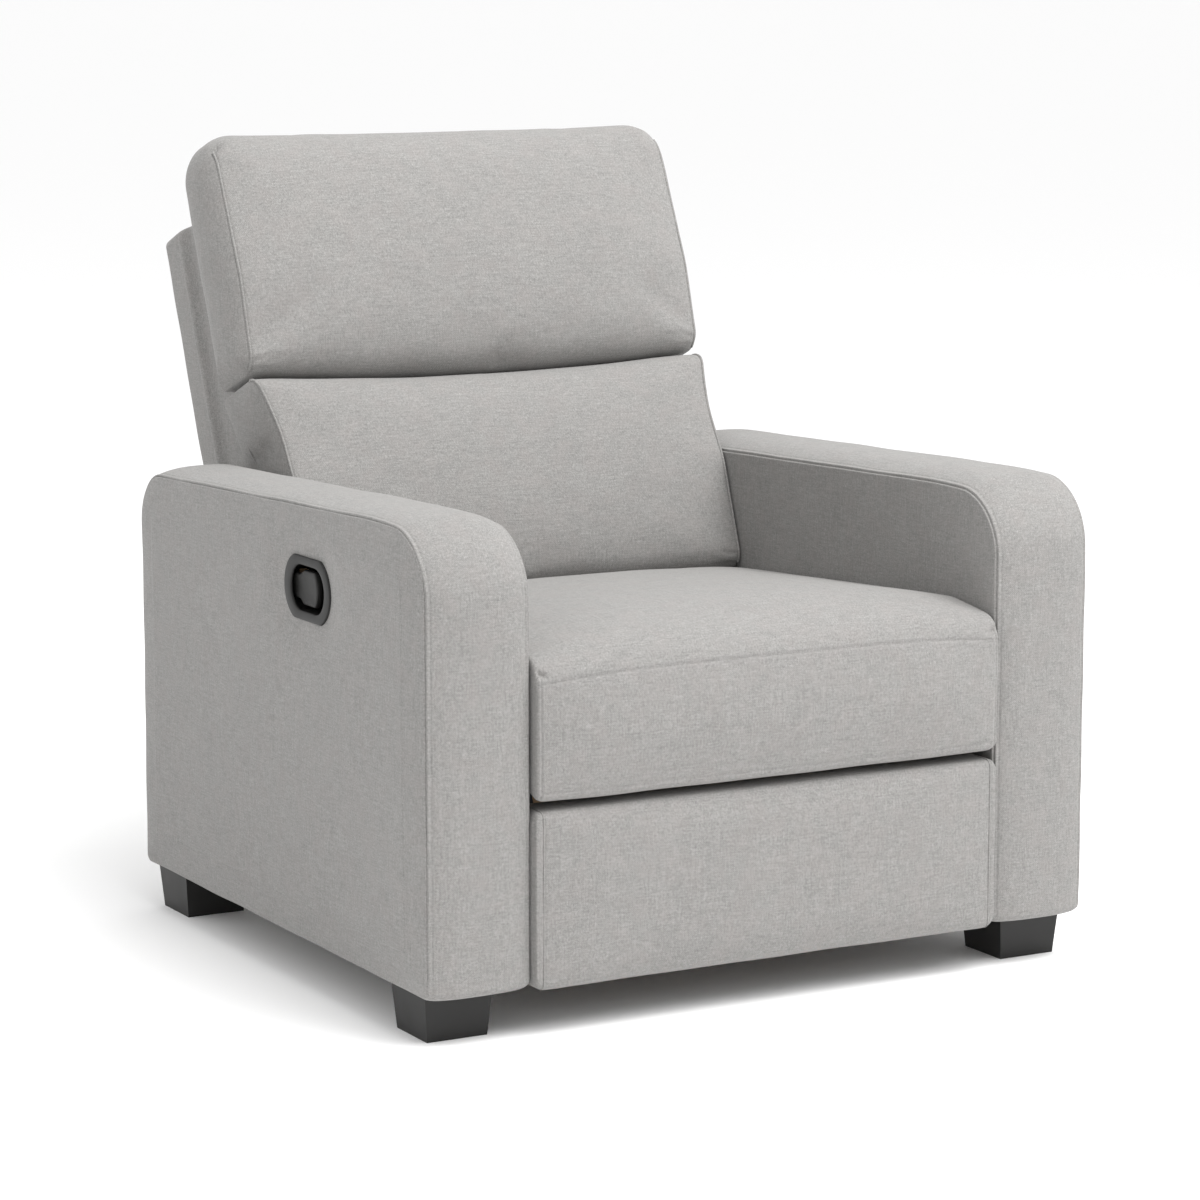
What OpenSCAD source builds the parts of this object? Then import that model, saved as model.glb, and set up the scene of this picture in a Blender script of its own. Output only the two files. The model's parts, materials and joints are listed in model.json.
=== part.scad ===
// Recliner armchair: an upholstered chair with a spring-opened footrest on a pair of steel
// linkages, a back that reclines while the seat glides forward on swing links, and a recessed
// release handle in one arm. +Z is up and -Y is the front. Left is -X, as seen from the front.
// Side-view sizes are measured from the front plane of the arms; place() centres the depth.

/* [Chair] */
// Width over both arms
overall_w = 900; // [800:5:1050]
// Depth of the arms, front to rear
arm_depth = 814; // [700:2:950]
// Width of one arm
arm_w = 133; // [110:1:180]
// Height of the arm's top at the front
arm_front_h = 600; // [540:2:700]
// Height of the arm's top at the rear
arm_rear_h = 576; // [520:2:700]
// Height of the legs, floor to arm underside
leg_h = 57; // [40:1:100]
// Radius of the arm's front top corner
arm_front_r = 76; // [65:1:110]
// Radius of the arm's rear top corner
arm_rear_r = 66; // [65:1:110]

/* [Upholstery] */
// Thickness of the padded band round the arm
band_t = 22; // [16:1:30]
// Thickness of the padded side panels
panel_t = 12; // [8:1:16]
// How far the outer panel lies inside the band's edge
panel_recess = 3; // [2:0.5:6]
// Side gap between a cushion and an arm
cushion_gap = 4; // [3:0.5:10]
// Distance from a cushion's cover to its foam core
wrap_t = 16; // [12:1:24]
// How far the seat cushion stands in front of the arms
seat_proud = 14; // [8:1:20]
// Height of the seat cushion at its front
seat_top = 455; // [445:1:480]
// Height of the seat cushion above the back's lower edge
seat_rear_top = 428; // [415:1:430]
// Thickness of the footrest pad
pad_t = 36; // [28:1:40]
// Height of the footrest pad's lower edge
pad_bottom = 62; // [58:1:80]
// Height of the footrest pad's upper edge
pad_top = 266; // [240:1:268]

/* [Back] */
// Lean of the upright back from the vertical
lean = 22; // [16:0.5:26]
// Length of the back frame along its lean, above the pivot
back_len = 600; // [540:5:680]
// Depth of the back frame
back_t = 97; // [90:1:120]
// Length of the back to the seam between its two cushions
crease_u = 352; // [330:1:380]
// Length of the back to the top of the head cushion
head_u = 672; // [640:1:740]
// How far the head cushion stands wider than the gap between the arms, each side
head_wide = 8; // [0:1:12]

/* [Mechanism] */
// Thickness of the steel plates and links
steel_t = 3; // [2.5:0.5:4]
// Gap between neighbouring steel layers
layer_gap = 2; // [2:0.5:3]
// Width of a link
link_w = 20; // [16:1:20]
// Bore of every pivot
pivot_r = 5; // [4:0.5:6]
// Radial clearance of a pivot pin in its bore
pin_clear = 0.05; // [0.02:0.01:0.1]
// Length of the swing links that carry the seat
swing_len = 80; // [70:1:90]
// Backward slope of the swing links with the back upright
swing_slope = 10; // [0:1:15]
// Outer radius of the torque tube
tube_r = 11; // [10.5:0.5:13]
// Side of the square cross tubes
cross_tube_w = 25; // [20:1:30]

/* [Handle] */
// Length of the handle's bezel
bezel_l = 130; // [120:1:150]
// Height of the handle's bezel
bezel_h = 76; // [72:1:90]
// Depth of the handle's cup behind the bezel
cup_depth = 34; // [30:1:38]
// Radius of the release cable's sheath
cable_r = 2.5; // [2:0.25:3]

/* [Hidden] */
$fn = 48;
fabric = [0.70, 0.69, 0.67];
foam = [0.93, 0.88, 0.70];
timber = [0.80, 0.66, 0.46];
steel = [0.33, 0.34, 0.36];
black = [0.12, 0.12, 0.12];

inner_half = overall_w / 2 - arm_w;      // from the middle to an arm's inner face
frame_gap = 0.5;                         // between the arm's frame and its band
frame_inset = band_t + frame_gap;
ply_t = 12;                              // plywood sheets of the arm's frame
frame_bottom = leg_h;                    // the frame stands on the legs, inside the band
lumber_w = 40;                           // lumber round the arm's frame
cushion_half = inner_half - cushion_gap;
wrap_clear = 0.5;                        // between a foam core and its cover

// Steel layers, each by its face nearest to the middle of the chair. Layer 0 is fixed to the arm.
function layer(n) = inner_half - steel_t - n * (steel_t + layer_gap);
rail_x = layer(0);
swing_x = layer(1);
plate_x = layer(2);
drive_x = layer(3);
link_x = layer(4);
bracket_x = layer(5);

// Pivots of the seat's swing links, [y, z]: hanging from the base rail, carrying the seat plate
seat_pivot_z = 246;
front_seat_pivot = [300, seat_pivot_z];
rear_seat_pivot = [arm_depth - 214, seat_pivot_z];
swing = swing_len * [-sin(swing_slope), cos(swing_slope)];
front_base_pivot = front_seat_pivot + swing;
rear_base_pivot = rear_seat_pivot + swing;

// The back turns about this pivot on the seat plate
back_pivot = [arm_depth - 124, 330];

// Footrest linkage. The footrest turns about knee, a point in the air at the seat's front edge:
// the drive link is parallel to the line from knee to low_hole, and the long link to the line
// from drive_pivot to knee, so both four-bars are parallelograms.
knee = [-10, 445];
drive_pivot = [140, 318];
low_hole = [80, 232];
hole_pitch = 2.35 * link_w;              // keeps the closed links side by side
link_step = hole_pitch;
drive_arm = low_hole - knee;
drive_dir = drive_arm / norm(drive_arm);
reach = knee - drive_pivot;
reach_dir = reach / norm(reach);
high_hole = low_hole - hole_pitch * drive_dir;
mid_pin = drive_pivot + drive_arm;
upper_pin = mid_pin - hole_pitch * drive_dir;
rear_pivot = drive_pivot - link_step * reach_dir;
rear_pin = mid_pin - link_step * reach_dir;
crank = [28, -28];                       // from the drive pivot to the spring's pin
spring_r = 7;
catch_along = 0.5;                       // place of the catch stud along the rear link
catch_pin = rear_pivot + catch_along * (rear_pin - rear_pivot);
catch_r = 4;

seat_under = 345;                        // underside of the seat cushion
plate_top = 333;
plate_bottom = 275;
plate_front = 55;
seat_rear = arm_depth - 202;             // rear end of the seat cushion
front_wrap = 14;                         // the cushion's front lip reaches back to here
rail_t = 25;                             // timber seat rails
front_rail_y = 24;
front_rail_bottom = 296;                 // above the drive links when the footrest is open
rear_rail_y = arm_depth - 214;
spring_count = 5;
spring_wire_r = 2;
spring_z = plate_top + 3 + spring_wire_r / 2;
cross_tube_y = [400, arm_depth - 174];
cross_tube_z = 150;

board_t = 12;
pad_front = -2;                          // front face of the footrest pad
board_front = pad_front + pad_t;
board_back = board_front + board_t;

post_w = 25;
post_d = 68;
post_foot = 20;
back_front = -8;                         // front face of the back frame, across the lean
back_rear = back_front - back_t;
cover_t = 6;
post_front = -30;
lumbar_foot = 45;
cushion_split = 2;                       // gap between the lumbar and the head cushion

leg_top = 87;
leg_foot = 77;
leg_x = overall_w / 2 - 55.5;            // middle of a leg
leg_front_y = 73.5;
leg_rear_y = arm_depth - 57.5;
leg_bolt_r = 4;
leg_bolt_bottom = 20;
leg_bolt_top = 92;
arm_bolt_r = 4;
arm_bolts = [                            // through the base rail, [y, z]
    [340, 310], [(front_seat_pivot[0] + rear_seat_pivot[0]) / 2, 310], [arm_depth - 154, 310]
];

handle_mid = [308, 486];                 // middle of the bezel, [y, z]
bezel_face = overall_w / 2;
cup_l = 98;
cup_h = 56;
cup_wall = 2.5;
hinge_y = handle_mid[0] + cup_l / 2 - 8;
hinge_x = bezel_face - 12;
hinge_r = 3;
flap_l = 66;
flap_t = 7;
flap_h = cup_h - 6;
latch_pivot = [400, 200];
latch_tail = [445, 175];
cable_hole = [447, 128.5];
cable_hole_r = 7.5;

front_y = -seat_proud;
rear_y = back_pivot[0] + back_len * sin(lean) - back_rear * cos(lean);
y_shift = -(front_y + rear_y) / 2;

// ---- geometry helpers ----

function unit(v) = v / norm(v);
function wrap180(a) = a > 180 ? a - 360 : a < -180 ? a + 360 : a;

// Points of the arc that rounds corner b, between neighbours a and c, to radius r
function corner_arc(a, b, c, r, n) =
    let (
        to_a = unit(a - b),
        to_c = unit(c - b),
        half = acos(to_a * to_c) / 2,
        centre = b + unit(to_a + to_c) * r / sin(half),
        first = b + to_a * r / tan(half) - centre,
        last = b + to_c * r / tan(half) - centre,
        start = atan2(first[1], first[0]),
        turn = wrap180(atan2(last[1], last[0]) - start)
    )
    r == 0 ? [b] : [for (k = [0:n]) centre + r * [cos(start + turn * k / n), sin(start + turn * k / n)]];

// A closed outline from corners given as [x, y, radius]
function rounded(corners, n = 8) =
    let (m = len(corners))
    [for (i = [0:m - 1])
        let (
            before = corners[(i + m - 1) % m],
            at = corners[i],
            after = corners[(i + 1) % m]
        )
        each corner_arc([before[0], before[1]], [at[0], at[1]], [after[0], after[1]], at[2], n)];

// Moves side-view geometry so that the chair's depth is centred on the origin
module place() {
    translate([0, y_shift, 0]) children();
}

// side is -1 for the left and 1 for the right
module on_side(side) {
    mirror([side < 0 ? 1 : 0, 0, 0]) children();
}

module both_sides() {
    for (side = [-1, 1]) on_side(side) children();
}

// Extrudes a side view, drawn as [y, z], from x0 over a width
module side_plate(x0, width) {
    translate([x0, 0, 0]) rotate([90, 0, 90]) linear_extrude(width) children();
}

// A round bar along X
module bar_x(at, x0, width, r) {
    translate([x0, at[0], at[1]]) rotate([0, 90, 0]) cylinder(h = width, r = r);
}

// Puts geometry drawn with Y along the back's lean [u] and X across it [v] into the side view
module on_back() {
    translate([back_pivot[0], back_pivot[1]]) rotate(-lean) mirror([1, 0]) children();
}

// A strip with round ends and a bore at each end, in the side view
module link_outline(a, b, w = link_w) {
    along = unit(b - a) * w / 2;
    across = [-along[1], along[0]];
    corner_r = w / 2 - 0.05;
    difference() {
        polygon(rounded([for (p = [a - along + across, b + along + across,
                                   b + along - across, a - along - across]) [p[0], p[1], corner_r]]));
        for (p = [a, b]) translate(p) circle(pivot_r);
    }
}

// A pin through the layer that starts at x0 and the next layer outwards, with a collar between
module pivot_pin(at, x0) {
    head_r = pivot_r + 3;
    head_t = 1.2;
    bar_x(at, x0 - head_t, 2 * steel_t + layer_gap + 2 * head_t, pivot_r - pin_clear);
    bar_x(at, x0 - head_t, head_t, head_r);
    bar_x(at, x0 + steel_t, layer_gap, head_r);
    bar_x(at, x0 + 2 * steel_t + layer_gap, head_t, head_r);
}

// Triangulated tube along a path, with flat ends; up must not be parallel to the path anywhere
function tube_ring(p, along, up, r, sides) =
    let (x = unit(cross(up, along)), y = cross(along, x))
    [for (k = [0:sides - 1]) p + r * (cos(360 * k / sides) * x + sin(360 * k / sides) * y)];

module tube(path, r, up, sides = 8) {
    n = len(path);
    rings = [for (i = [0:n - 1])
        each tube_ring(path[i], unit(path[min(i + 1, n - 1)] - path[max(i - 1, 0)]), up, r, sides)];
    walls = [for (i = [0:n - 2]) for (k = [0:sides - 1])
        let (a = i * sides + k, b = i * sides + (k + 1) % sides)
        each [[a, a + sides, b], [b, a + sides, b + sides]]];
    polyhedron(
        points = rings,
        faces = concat(
            walls,
            [[for (k = [0:sides - 1]) k]],
            [[for (k = [sides - 1:-1:0]) (n - 1) * sides + k]]
        )
    );
}

// ---- arms ----

// The arm's side outline, drawn in by inset from the band's surface, down to z = bottom
function arm_outline(inset, bottom, bottom_r) = rounded([
    [inset, bottom, bottom_r],
    [inset, arm_front_h - inset, arm_front_r - inset],
    [arm_depth - inset, arm_rear_h - inset, arm_rear_r - inset],
    [arm_depth - inset, bottom, bottom_r]
]);

module arm_band(side) {
    color(fabric) on_side(side) side_plate(inner_half, arm_w) difference() {
        polygon(arm_outline(0, leg_h, 12));
        polygon(arm_outline(band_t, leg_h - 10, 0));
    }
}

module handle_opening(margin) {
    translate([handle_mid[0] - cup_l / 2 - margin, handle_mid[1] - cup_h / 2 - margin])
        square([cup_l + 2 * margin, cup_h + 2 * margin]);
}

module arm_outer_panel(side) {
    color(fabric) on_side(side) side_plate(overall_w / 2 - panel_recess - panel_t, panel_t) difference() {
        polygon(arm_outline(frame_inset, frame_bottom, 0));
        if (side < 0) handle_opening(cup_wall + 1);
    }
}

module arm_inner_panel(side) {
    color(fabric) on_side(side) side_plate(inner_half, panel_t) difference() {
        polygon(arm_outline(frame_inset, frame_bottom, 0));
        arm_bolt_points() circle(arm_bolt_r + 0.2);
        if (side < 0) translate(cable_hole) circle(cable_hole_r);
    }
}

module arm_bolt_points() {
    for (p = arm_bolts) translate(p) children();
}

module arm_frame(side) {
    ply_inner = inner_half + panel_t;
    ply_outer = overall_w / 2 - panel_recess - panel_t - ply_t;
    color(timber) on_side(side) difference() {
        union() {
            side_plate(ply_inner, ply_t) polygon(arm_outline(frame_inset, frame_bottom, 0));
            side_plate(ply_outer, ply_t) polygon(arm_outline(frame_inset, frame_bottom, 0));
            side_plate(ply_inner + ply_t, ply_outer - ply_inner - ply_t) difference() {
                polygon(arm_outline(frame_inset, frame_bottom, 0));
                polygon(arm_outline(frame_inset + lumber_w, frame_bottom + lumber_w, 0));
            }
        }
        side_plate(ply_inner - 1, ply_t + 2) {
            arm_bolt_points() circle(arm_bolt_r + 0.2);
            if (side < 0) translate(cable_hole) circle(cable_hole_r);
        }
        if (side < 0) side_plate(ply_outer - 1, ply_t + 2) handle_opening(cup_wall + 1);
        for (y = [leg_front_y, leg_rear_y])
            translate([leg_x, y, 0]) cylinder(h = leg_bolt_top + 1, r = leg_bolt_r + 0.1);
    }
}

// ---- legs ----

module leg(side, y) {
    color(black) on_side(side) translate([leg_x, y, 0]) difference() {
        translate([0, 0, frame_bottom]) mirror([0, 0, 1])
            linear_extrude(frame_bottom, scale = leg_foot / leg_top) square(leg_top, center = true);
        translate([0, 0, leg_bolt_bottom]) cylinder(h = leg_h, r = leg_bolt_r + 0.1);
    }
}

module leg_bolts() {
    color(steel) both_sides() for (y = [leg_front_y, leg_rear_y])
        translate([leg_x, y, leg_bolt_bottom])
            cylinder(h = leg_bolt_top - leg_bolt_bottom, r = leg_bolt_r);
}

// ---- fixed base ----

module base_rail(side) {
    rail_bottom = 285;
    rail_top = 343;
    rail_rear = arm_depth - 94;
    color(steel) on_side(side) side_plate(rail_x, steel_t) difference() {
        union() {
            polygon(rounded([[255, rail_bottom, 10], [rail_rear, rail_bottom, 10],
                             [rail_rear, rail_top, 10], [255, rail_top, 10]]));
            for (y = cross_tube_y)
                translate([y - 20, cross_tube_z - 20]) square([40, rail_bottom - cross_tube_z + 30]);
            translate([latch_pivot[0] - 20, latch_pivot[1] - 20]) square([40, 40]);
        }
        for (p = [front_base_pivot, rear_base_pivot]) translate(p) circle(pivot_r);
        arm_bolt_points() circle(arm_bolt_r + 0.2);
        if (side < 0) translate(latch_pivot) circle(pivot_r);
    }
}

module base_pins() {
    color(steel) {
        both_sides() for (p = [front_base_pivot, rear_base_pivot]) base_pin(p);
        on_side(-1) base_pin(latch_pivot);
    }
}

// A pin staked flush into the base rail, which carries the layer inside it
module base_pin(p) {
    intersection() {
        pivot_pin(p, swing_x);
        translate([0, p[0] - 20, p[1] - 20]) cube([inner_half, 40, 40]);
    }
}

module base_bolts() {
    head_t = layer_gap - 0.2;
    beyond = 4;
    color(steel) both_sides() for (p = arm_bolts) {
        bar_x(p, rail_x - head_t, head_t + steel_t + panel_t + ply_t + beyond, arm_bolt_r);
        bar_x(p, rail_x - head_t, head_t, arm_bolt_r + 4);
    }
}

module cross_tubes() {
    wall = 2;
    color(steel) for (y = cross_tube_y)
        translate([-rail_x, y, cross_tube_z]) rotate([0, 90, 0]) linear_extrude(2 * rail_x)
            difference() {
                square(cross_tube_w, center = true);
                square(cross_tube_w - 2 * wall, center = true);
            }
}

module rear_stretcher() {
    color(timber) translate([-inner_half, arm_depth - 54, leg_h + 5]) cube([2 * inner_half, rail_t, 60]);
}

module rear_panel() {
    color(fabric) translate([-inner_half + 1, arm_depth - 29, leg_h + 3]) cube([2 * inner_half - 2, 14, 205]);
}

// ---- release handle, cable and latch ----

// The bezel's outline: flat above and below, with round ends
module bezel_outline() {
    end_r = bezel_h / 2 + 4;
    end_y = bezel_l / 2 - end_r;
    sweep = asin(bezel_h / 2 / end_r);
    steps = 12;
    arc = [for (k = [-steps:steps]) [end_y + end_r * cos(sweep * k / steps), end_r * sin(sweep * k / steps)]];
    translate(handle_mid) polygon(concat(arc, [for (p = arc) -p]));
}

module handle_cup() {
    flange_t = panel_recess;
    floor_x = cup_floor;
    color(black) on_side(-1) difference() {
        union() {
            side_plate(bezel_face - flange_t, flange_t) bezel_outline();
            side_plate(floor_x, cup_depth) handle_opening(cup_wall);
        }
        side_plate(floor_x + cup_wall, cup_depth + flange_t) handle_opening(0);
        translate([hinge_x, hinge_y, handle_mid[1] - cup_h / 2 - cup_wall - 1])
            cylinder(h = cup_h + 2 * cup_wall + 2, r = hinge_r + pin_clear);
        bar_x(cable_start, floor_x - 1, cup_wall + 2, cable_r + 0.5);
    }
}

module pull_handle() {
    trunnion = cup_h + cup_wall;
    color(black) on_side(-1) translate([hinge_x, hinge_y, handle_mid[1]]) {
        translate([0, 0, -trunnion / 2]) cylinder(h = trunnion, r = hinge_r);
        translate([0, 0, -flap_h / 2]) linear_extrude(flap_h) difference() {
            polygon(rounded([
                [-flap_t, 5, 2], [3, 5, 2], [5, -20, 20], [4, -flap_l, 3], [-flap_t + 5, -flap_l, 2],
                [-flap_t + 2, -24, 20]
            ]));
            circle(hinge_r - 0.2);
        }
    }
}

// The release cable's route: out of the cup's floor, down inside the arm, out through its inner
// side in a bend, and up to the latch's tail. Each point is [distance outwards from the arm's inner
// face, y, z]; past the plywood the distances stretch with the room up to the cup's floor.
cable_start = [340, 486];
cable_points = [
    [99, 340, 486], [87, 340, 485], [76, 341, 478], [69, 343, 464], [66, 347, 440],
    [65, 353, 410], [64, 360, 380], [63, 368, 350], [62, 377, 320], [61, 387, 290],
    [59, 398, 260], [56, 410, 230], [52, 422, 200], [47, 434, 170], [39, 442, 147],
    [28, 446, 133], [15, 447, 126], [4, 447, 127], [-3, 447, 134], [-5.5, 446, 144],
    [-6, 445, 155], [-6, 445, 166]
];
cable_turn = 28;                         // the distance at which the cable turns into the wall
cup_floor = bezel_face - panel_recess - cup_depth;
cable_room = (cup_floor + 3 - inner_half - cable_turn) / (cable_points[0][0] - cable_turn);
cable_route = [for (p = cable_points)
    [inner_half + min(p[0], cable_turn) + max(p[0] - cable_turn, 0) * cable_room, p[1], p[2]]];

module release_cable() {
    color(black) on_side(-1) tube(cable_route, cable_r, [0, 1, 0]);
}

module release_latch() {
    nose = catch_pin + [0, catch_r + 2];
    bar = 14;
    color(steel) on_side(-1) side_plate(swing_x, steel_t) difference() {
        union() {
            polygon([
                nose + [-14, 0], nose + [-6, 0], nose + [-2, 8], latch_pivot + [0, -bar / 2],
                latch_tail + [-4, 2], latch_tail + [4, 8], latch_pivot + [4, bar / 2], nose + [-14, 8 + bar]
            ]);
            translate(latch_pivot) circle(bar);
        }
        translate(latch_pivot) circle(pivot_r);
    }
}

// ---- swing links ----

module swing_links(seat_end, base_end) {
    color(steel) both_sides() side_plate(swing_x, steel_t) link_outline(seat_end, base_end);
}

// ---- seat ----

module seat_plate(side) {
    ear_r = 14;
    plate_rear = back_pivot[0] - 4;
    color(steel) on_side(side) side_plate(plate_x, steel_t) difference() {
        union() {
            polygon(rounded([[plate_front, plate_bottom, 8], [plate_rear, plate_bottom, 20],
                             [plate_rear, plate_top, 0], [plate_front, plate_top, 8]]));
            for (p = [front_seat_pivot, rear_seat_pivot]) {
                translate(p) circle(ear_r);
                translate(p - [ear_r, 0]) square([2 * ear_r, plate_bottom - seat_pivot_z + 10]);
            }
            translate(back_pivot) circle(ear_r);
            translate(rear_pivot) circle(pivot_r + 6);
        }
        for (p = [front_seat_pivot, rear_seat_pivot, back_pivot, drive_pivot, rear_pivot])
            translate(p) circle(pivot_r);
    }
}

module seat_pins() {
    color(steel) both_sides() {
        for (p = [front_seat_pivot, rear_seat_pivot]) pivot_pin(p, plate_x);
        for (p = [drive_pivot, rear_pivot, back_pivot]) pivot_pin(p, drive_x);
    }
}

module seat_front_rail() {
    color(timber) translate([-plate_x, front_rail_y, front_rail_bottom])
        cube([2 * plate_x, rail_t, plate_top - front_rail_bottom]);
}

module seat_rear_rail() {
    color(timber) translate([-plate_x, rear_rail_y, plate_bottom + 10])
        cube([2 * plate_x, rail_t, plate_top - plate_bottom - 10]);
}

spring_pitch = 2 * (plate_x - 54) / (spring_count - 1);
function spring_x(i) = -(plate_x - 54) + i * spring_pitch;

module seat_springs() {
    waves = 9;
    steps = 6;
    swing_half = 24;
    y0 = front_rail_y + 14;
    y1 = rear_rail_y + 14;
    path = [for (k = [0:waves * steps])
        let (t = k / (waves * steps))
        [swing_half * sin(360 * waves * t), y0 + (y1 - y0) * t, spring_z]];
    color(steel) for (i = [0:spring_count - 1])
        translate([spring_x(i), 0, 0]) tube(path, spring_wire_r, [0, 0, 1], 6);
}

module spring_clips() {
    clip = [26, 16, 1.5];
    color(steel) for (i = [0:spring_count - 1]) for (y = [front_rail_y + 6, rear_rail_y + 6])
        translate([spring_x(i) - clip[0] / 2, y, plate_top]) cube([clip[0], clip[1], clip[2]]);
}

seat_core_z = [seat_under + 12, seat_rear_top - wrap_t - 4];

module seat_core(extra) {
    half = cushion_half - wrap_t + extra;
    translate([-half, wrap_t - extra, seat_core_z[0] - extra])
        cube([2 * half, seat_rear - 50 - wrap_t + 2 * extra, seat_core_z[1] - seat_core_z[0] + 2 * extra]);
}

module seat_cushion() {
    lip_bottom = pad_top + 6;
    lip_rise = 10;                       // the lip's underside clears the drive links
    color(fabric) difference() {
        side_plate(-cushion_half, 2 * cushion_half) polygon(rounded([
            [front_y, lip_bottom, 9], [front_y, seat_top - 14, 28], [50, seat_top, 80],
            [seat_rear - 50, seat_rear_top, 60], [seat_rear, seat_rear_top - 35, 8],
            [seat_rear, seat_under, 6], [front_wrap, seat_under, 0], [front_wrap, lip_bottom + lip_rise, 5]
        ]));
        seat_core(wrap_clear);
    }
}

module seat_foam() {
    color(foam) seat_core(0);
}

// ---- back ----

// Extrudes a view drawn as [v, u], across and along the lean, over the given half width
module back_slab(half) {
    side_plate(-half, 2 * half) on_back() children();
}

module back_box(x0, x1, u0, u1, v0, v1) {
    side_plate(x0, x1 - x0) on_back() translate([v0, u0]) square([v1 - v0, u1 - u0]);
}

module back_brackets() {
    top_u = 150;
    color(steel) both_sides() side_plate(drive_x, steel_t) difference() {
        union() {
            on_back() polygon([[-70, 30], [-70, top_u], [-12, top_u], [-12, 42], [12, 16], [12, -6], [-30, 2]]);
            translate(back_pivot) circle(14);
        }
        translate(back_pivot) circle(pivot_r);
    }
}

module back_post(side) {
    color(timber) on_side(side)
        back_box(drive_x - post_w, drive_x, post_foot, back_len - cover_t - 1, post_front - post_d, post_front);
}

module back_rail(u0, u1) {
    half = drive_x - post_w;
    color(timber) back_box(-half, half, u0, u1, post_front - post_d, post_front);
}

module back_webbing() {
    strap_w = 50;
    strap_t = 2;
    count = 6;
    first = 60;
    pitch = (back_len - 40 - first - strap_w) / (count - 1);
    color(black) for (i = [0:count - 1])
        back_box(-drive_x, drive_x, first + i * pitch, first + i * pitch + strap_w, post_front, post_front + strap_t);
}

// Four sewn panels: the outside back, a border on each side and one over the top
module back_cover() {
    half = cushion_half - 1;
    skirt = -10;
    side_foot = 34;
    color(fabric) {
        back_box(-half + cover_t, half - cover_t, skirt, back_len - cover_t, back_rear, back_rear + cover_t);
        back_box(-half, half, back_len - cover_t, back_len, back_rear, back_front);
        both_sides() back_box(half - cover_t, half, side_foot, back_len - cover_t, back_rear, back_front);
    }
}

module lumbar_core(extra) {
    half = cushion_half - wrap_t - 1 + extra;
    back_box(-half, half, lumbar_foot + wrap_t - extra, crease_u - wrap_t + extra, wrap_t - 8 - extra, 104 + extra);
}

module lumbar_cushion() {
    top_u = crease_u - cushion_split / 2;
    color(fabric) difference() {
        back_slab(cushion_half - 1) polygon(rounded([
            [back_front, lumbar_foot, 12], [138, lumbar_foot, 22], [147, 190, 120],
            [112, top_u, 26], [back_front, top_u, 12]
        ]));
        lumbar_core(wrap_clear);
    }
}

module lumbar_foam() {
    color(foam) lumbar_core(0);
}

module head_core(extra) {
    half = inner_half + head_wide - wrap_t + extra;
    back_box(-half, half, crease_u + wrap_t + 16 - extra, head_u - wrap_t - 10 + extra, 18 - extra, 96 + extra);
}

module head_cushion() {
    foot_u = crease_u + cushion_split / 2;
    color(fabric) difference() {
        back_slab(inner_half + head_wide) polygon(rounded([
            [2, foot_u, 42], [110, foot_u, 26], [126, (foot_u + head_u) / 2 - 30, 120],
            [110, head_u, 42], [2, head_u, 44]
        ]));
        head_core(wrap_clear);
    }
}

module head_foam() {
    color(foam) head_core(0);
}

// ---- footrest linkage ----

module link_pair(x0, a, b) {
    both_sides() side_plate(x0, steel_t) link_outline(a, b);
}

module drive_links() {
    color(steel) both_sides() side_plate(drive_x, steel_t) difference() {
        link_outline(drive_pivot, mid_pin);
        translate(upper_pin) circle(pivot_r);
    }
}

module torque_tube() {
    wall = 2;
    crank_x = drive_x - 26;
    pin = drive_pivot + crank;
    color(steel) {
        difference() {
            union() {
                bar_x(drive_pivot, -drive_x, 2 * drive_x, tube_r);
                both_sides() side_plate(crank_x, steel_t) hull() {
                    translate(drive_pivot) circle(tube_r + 3);
                    translate(pin) circle(7);
                }
                both_sides() bar_x(pin, crank_x - 12, 14, 3);
            }
            bar_x(drive_pivot, -drive_x - 1, 2 * drive_x + 2, tube_r - wall);
        }
    }
}

module drive_springs() {
    x = drive_x - 26 - 8;
    z = drive_pivot[1] + crank[1];
    y0 = front_rail_y + rail_t;
    y1 = drive_pivot[0] + crank[0] - 5;
    color(steel) both_sides() {
        bar_y([x, y0 + 14, z], y1 - y0 - 22, spring_r);
        bar_y([x, y0, z], 16, 1.5);
        bar_y([x, y1 - 10, z], 10, 1.5);
    }
}

// A round bar along Y
module bar_y(at, length, r) {
    translate(at) rotate([-90, 0, 0]) cylinder(h = length, r = r);
}

module rear_links() {
    color(steel) {
        link_pair(drive_x, rear_pivot, rear_pin);
        on_side(-1) bar_x(catch_pin, drive_x + steel_t, swing_x - drive_x, catch_r);
    }
}

module long_links() {
    color(steel) both_sides() side_plate(link_x, steel_t) difference() {
        link_outline(rear_pin, low_hole);
        translate(mid_pin) circle(pivot_r);
    }
}

module short_links() {
    color(steel) link_pair(link_x, upper_pin, high_hole);
}

module link_rivets() {
    color(steel) both_sides() for (p = [mid_pin, rear_pin]) pivot_pin(p, link_x);
}

module short_link_rivets() {
    color(steel) both_sides() pivot_pin(upper_pin, link_x);
}

module footrest_rivets() {
    color(steel) both_sides() for (p = [low_hole, high_hole]) pivot_pin(p, bracket_x);
}

module footrest_brackets() {
    flange_w = 30;
    low_z = 120;
    color(steel) both_sides() {
        side_plate(bracket_x, steel_t) difference() {
            polygon(rounded([
                [board_back, low_z, 0], [board_back + 12, low_z, 6],
                [low_hole[0] + 12, low_hole[1] - 6, 11], [low_hole[0] + 10, low_hole[1] + 10, 10],
                [high_hole[0] + 9, high_hole[1] + 9, 9], [high_hole[0] - 9, high_hole[1] + 7, 8],
                [board_back, high_hole[1] - 18, 0]
            ], 4));
            for (p = [low_hole, high_hole]) translate(p) circle(pivot_r);
        }
        translate([bracket_x - flange_w, board_back, low_z]) cube([flange_w, steel_t, high_hole[1] - 18 - low_z]);
    }
}

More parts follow.
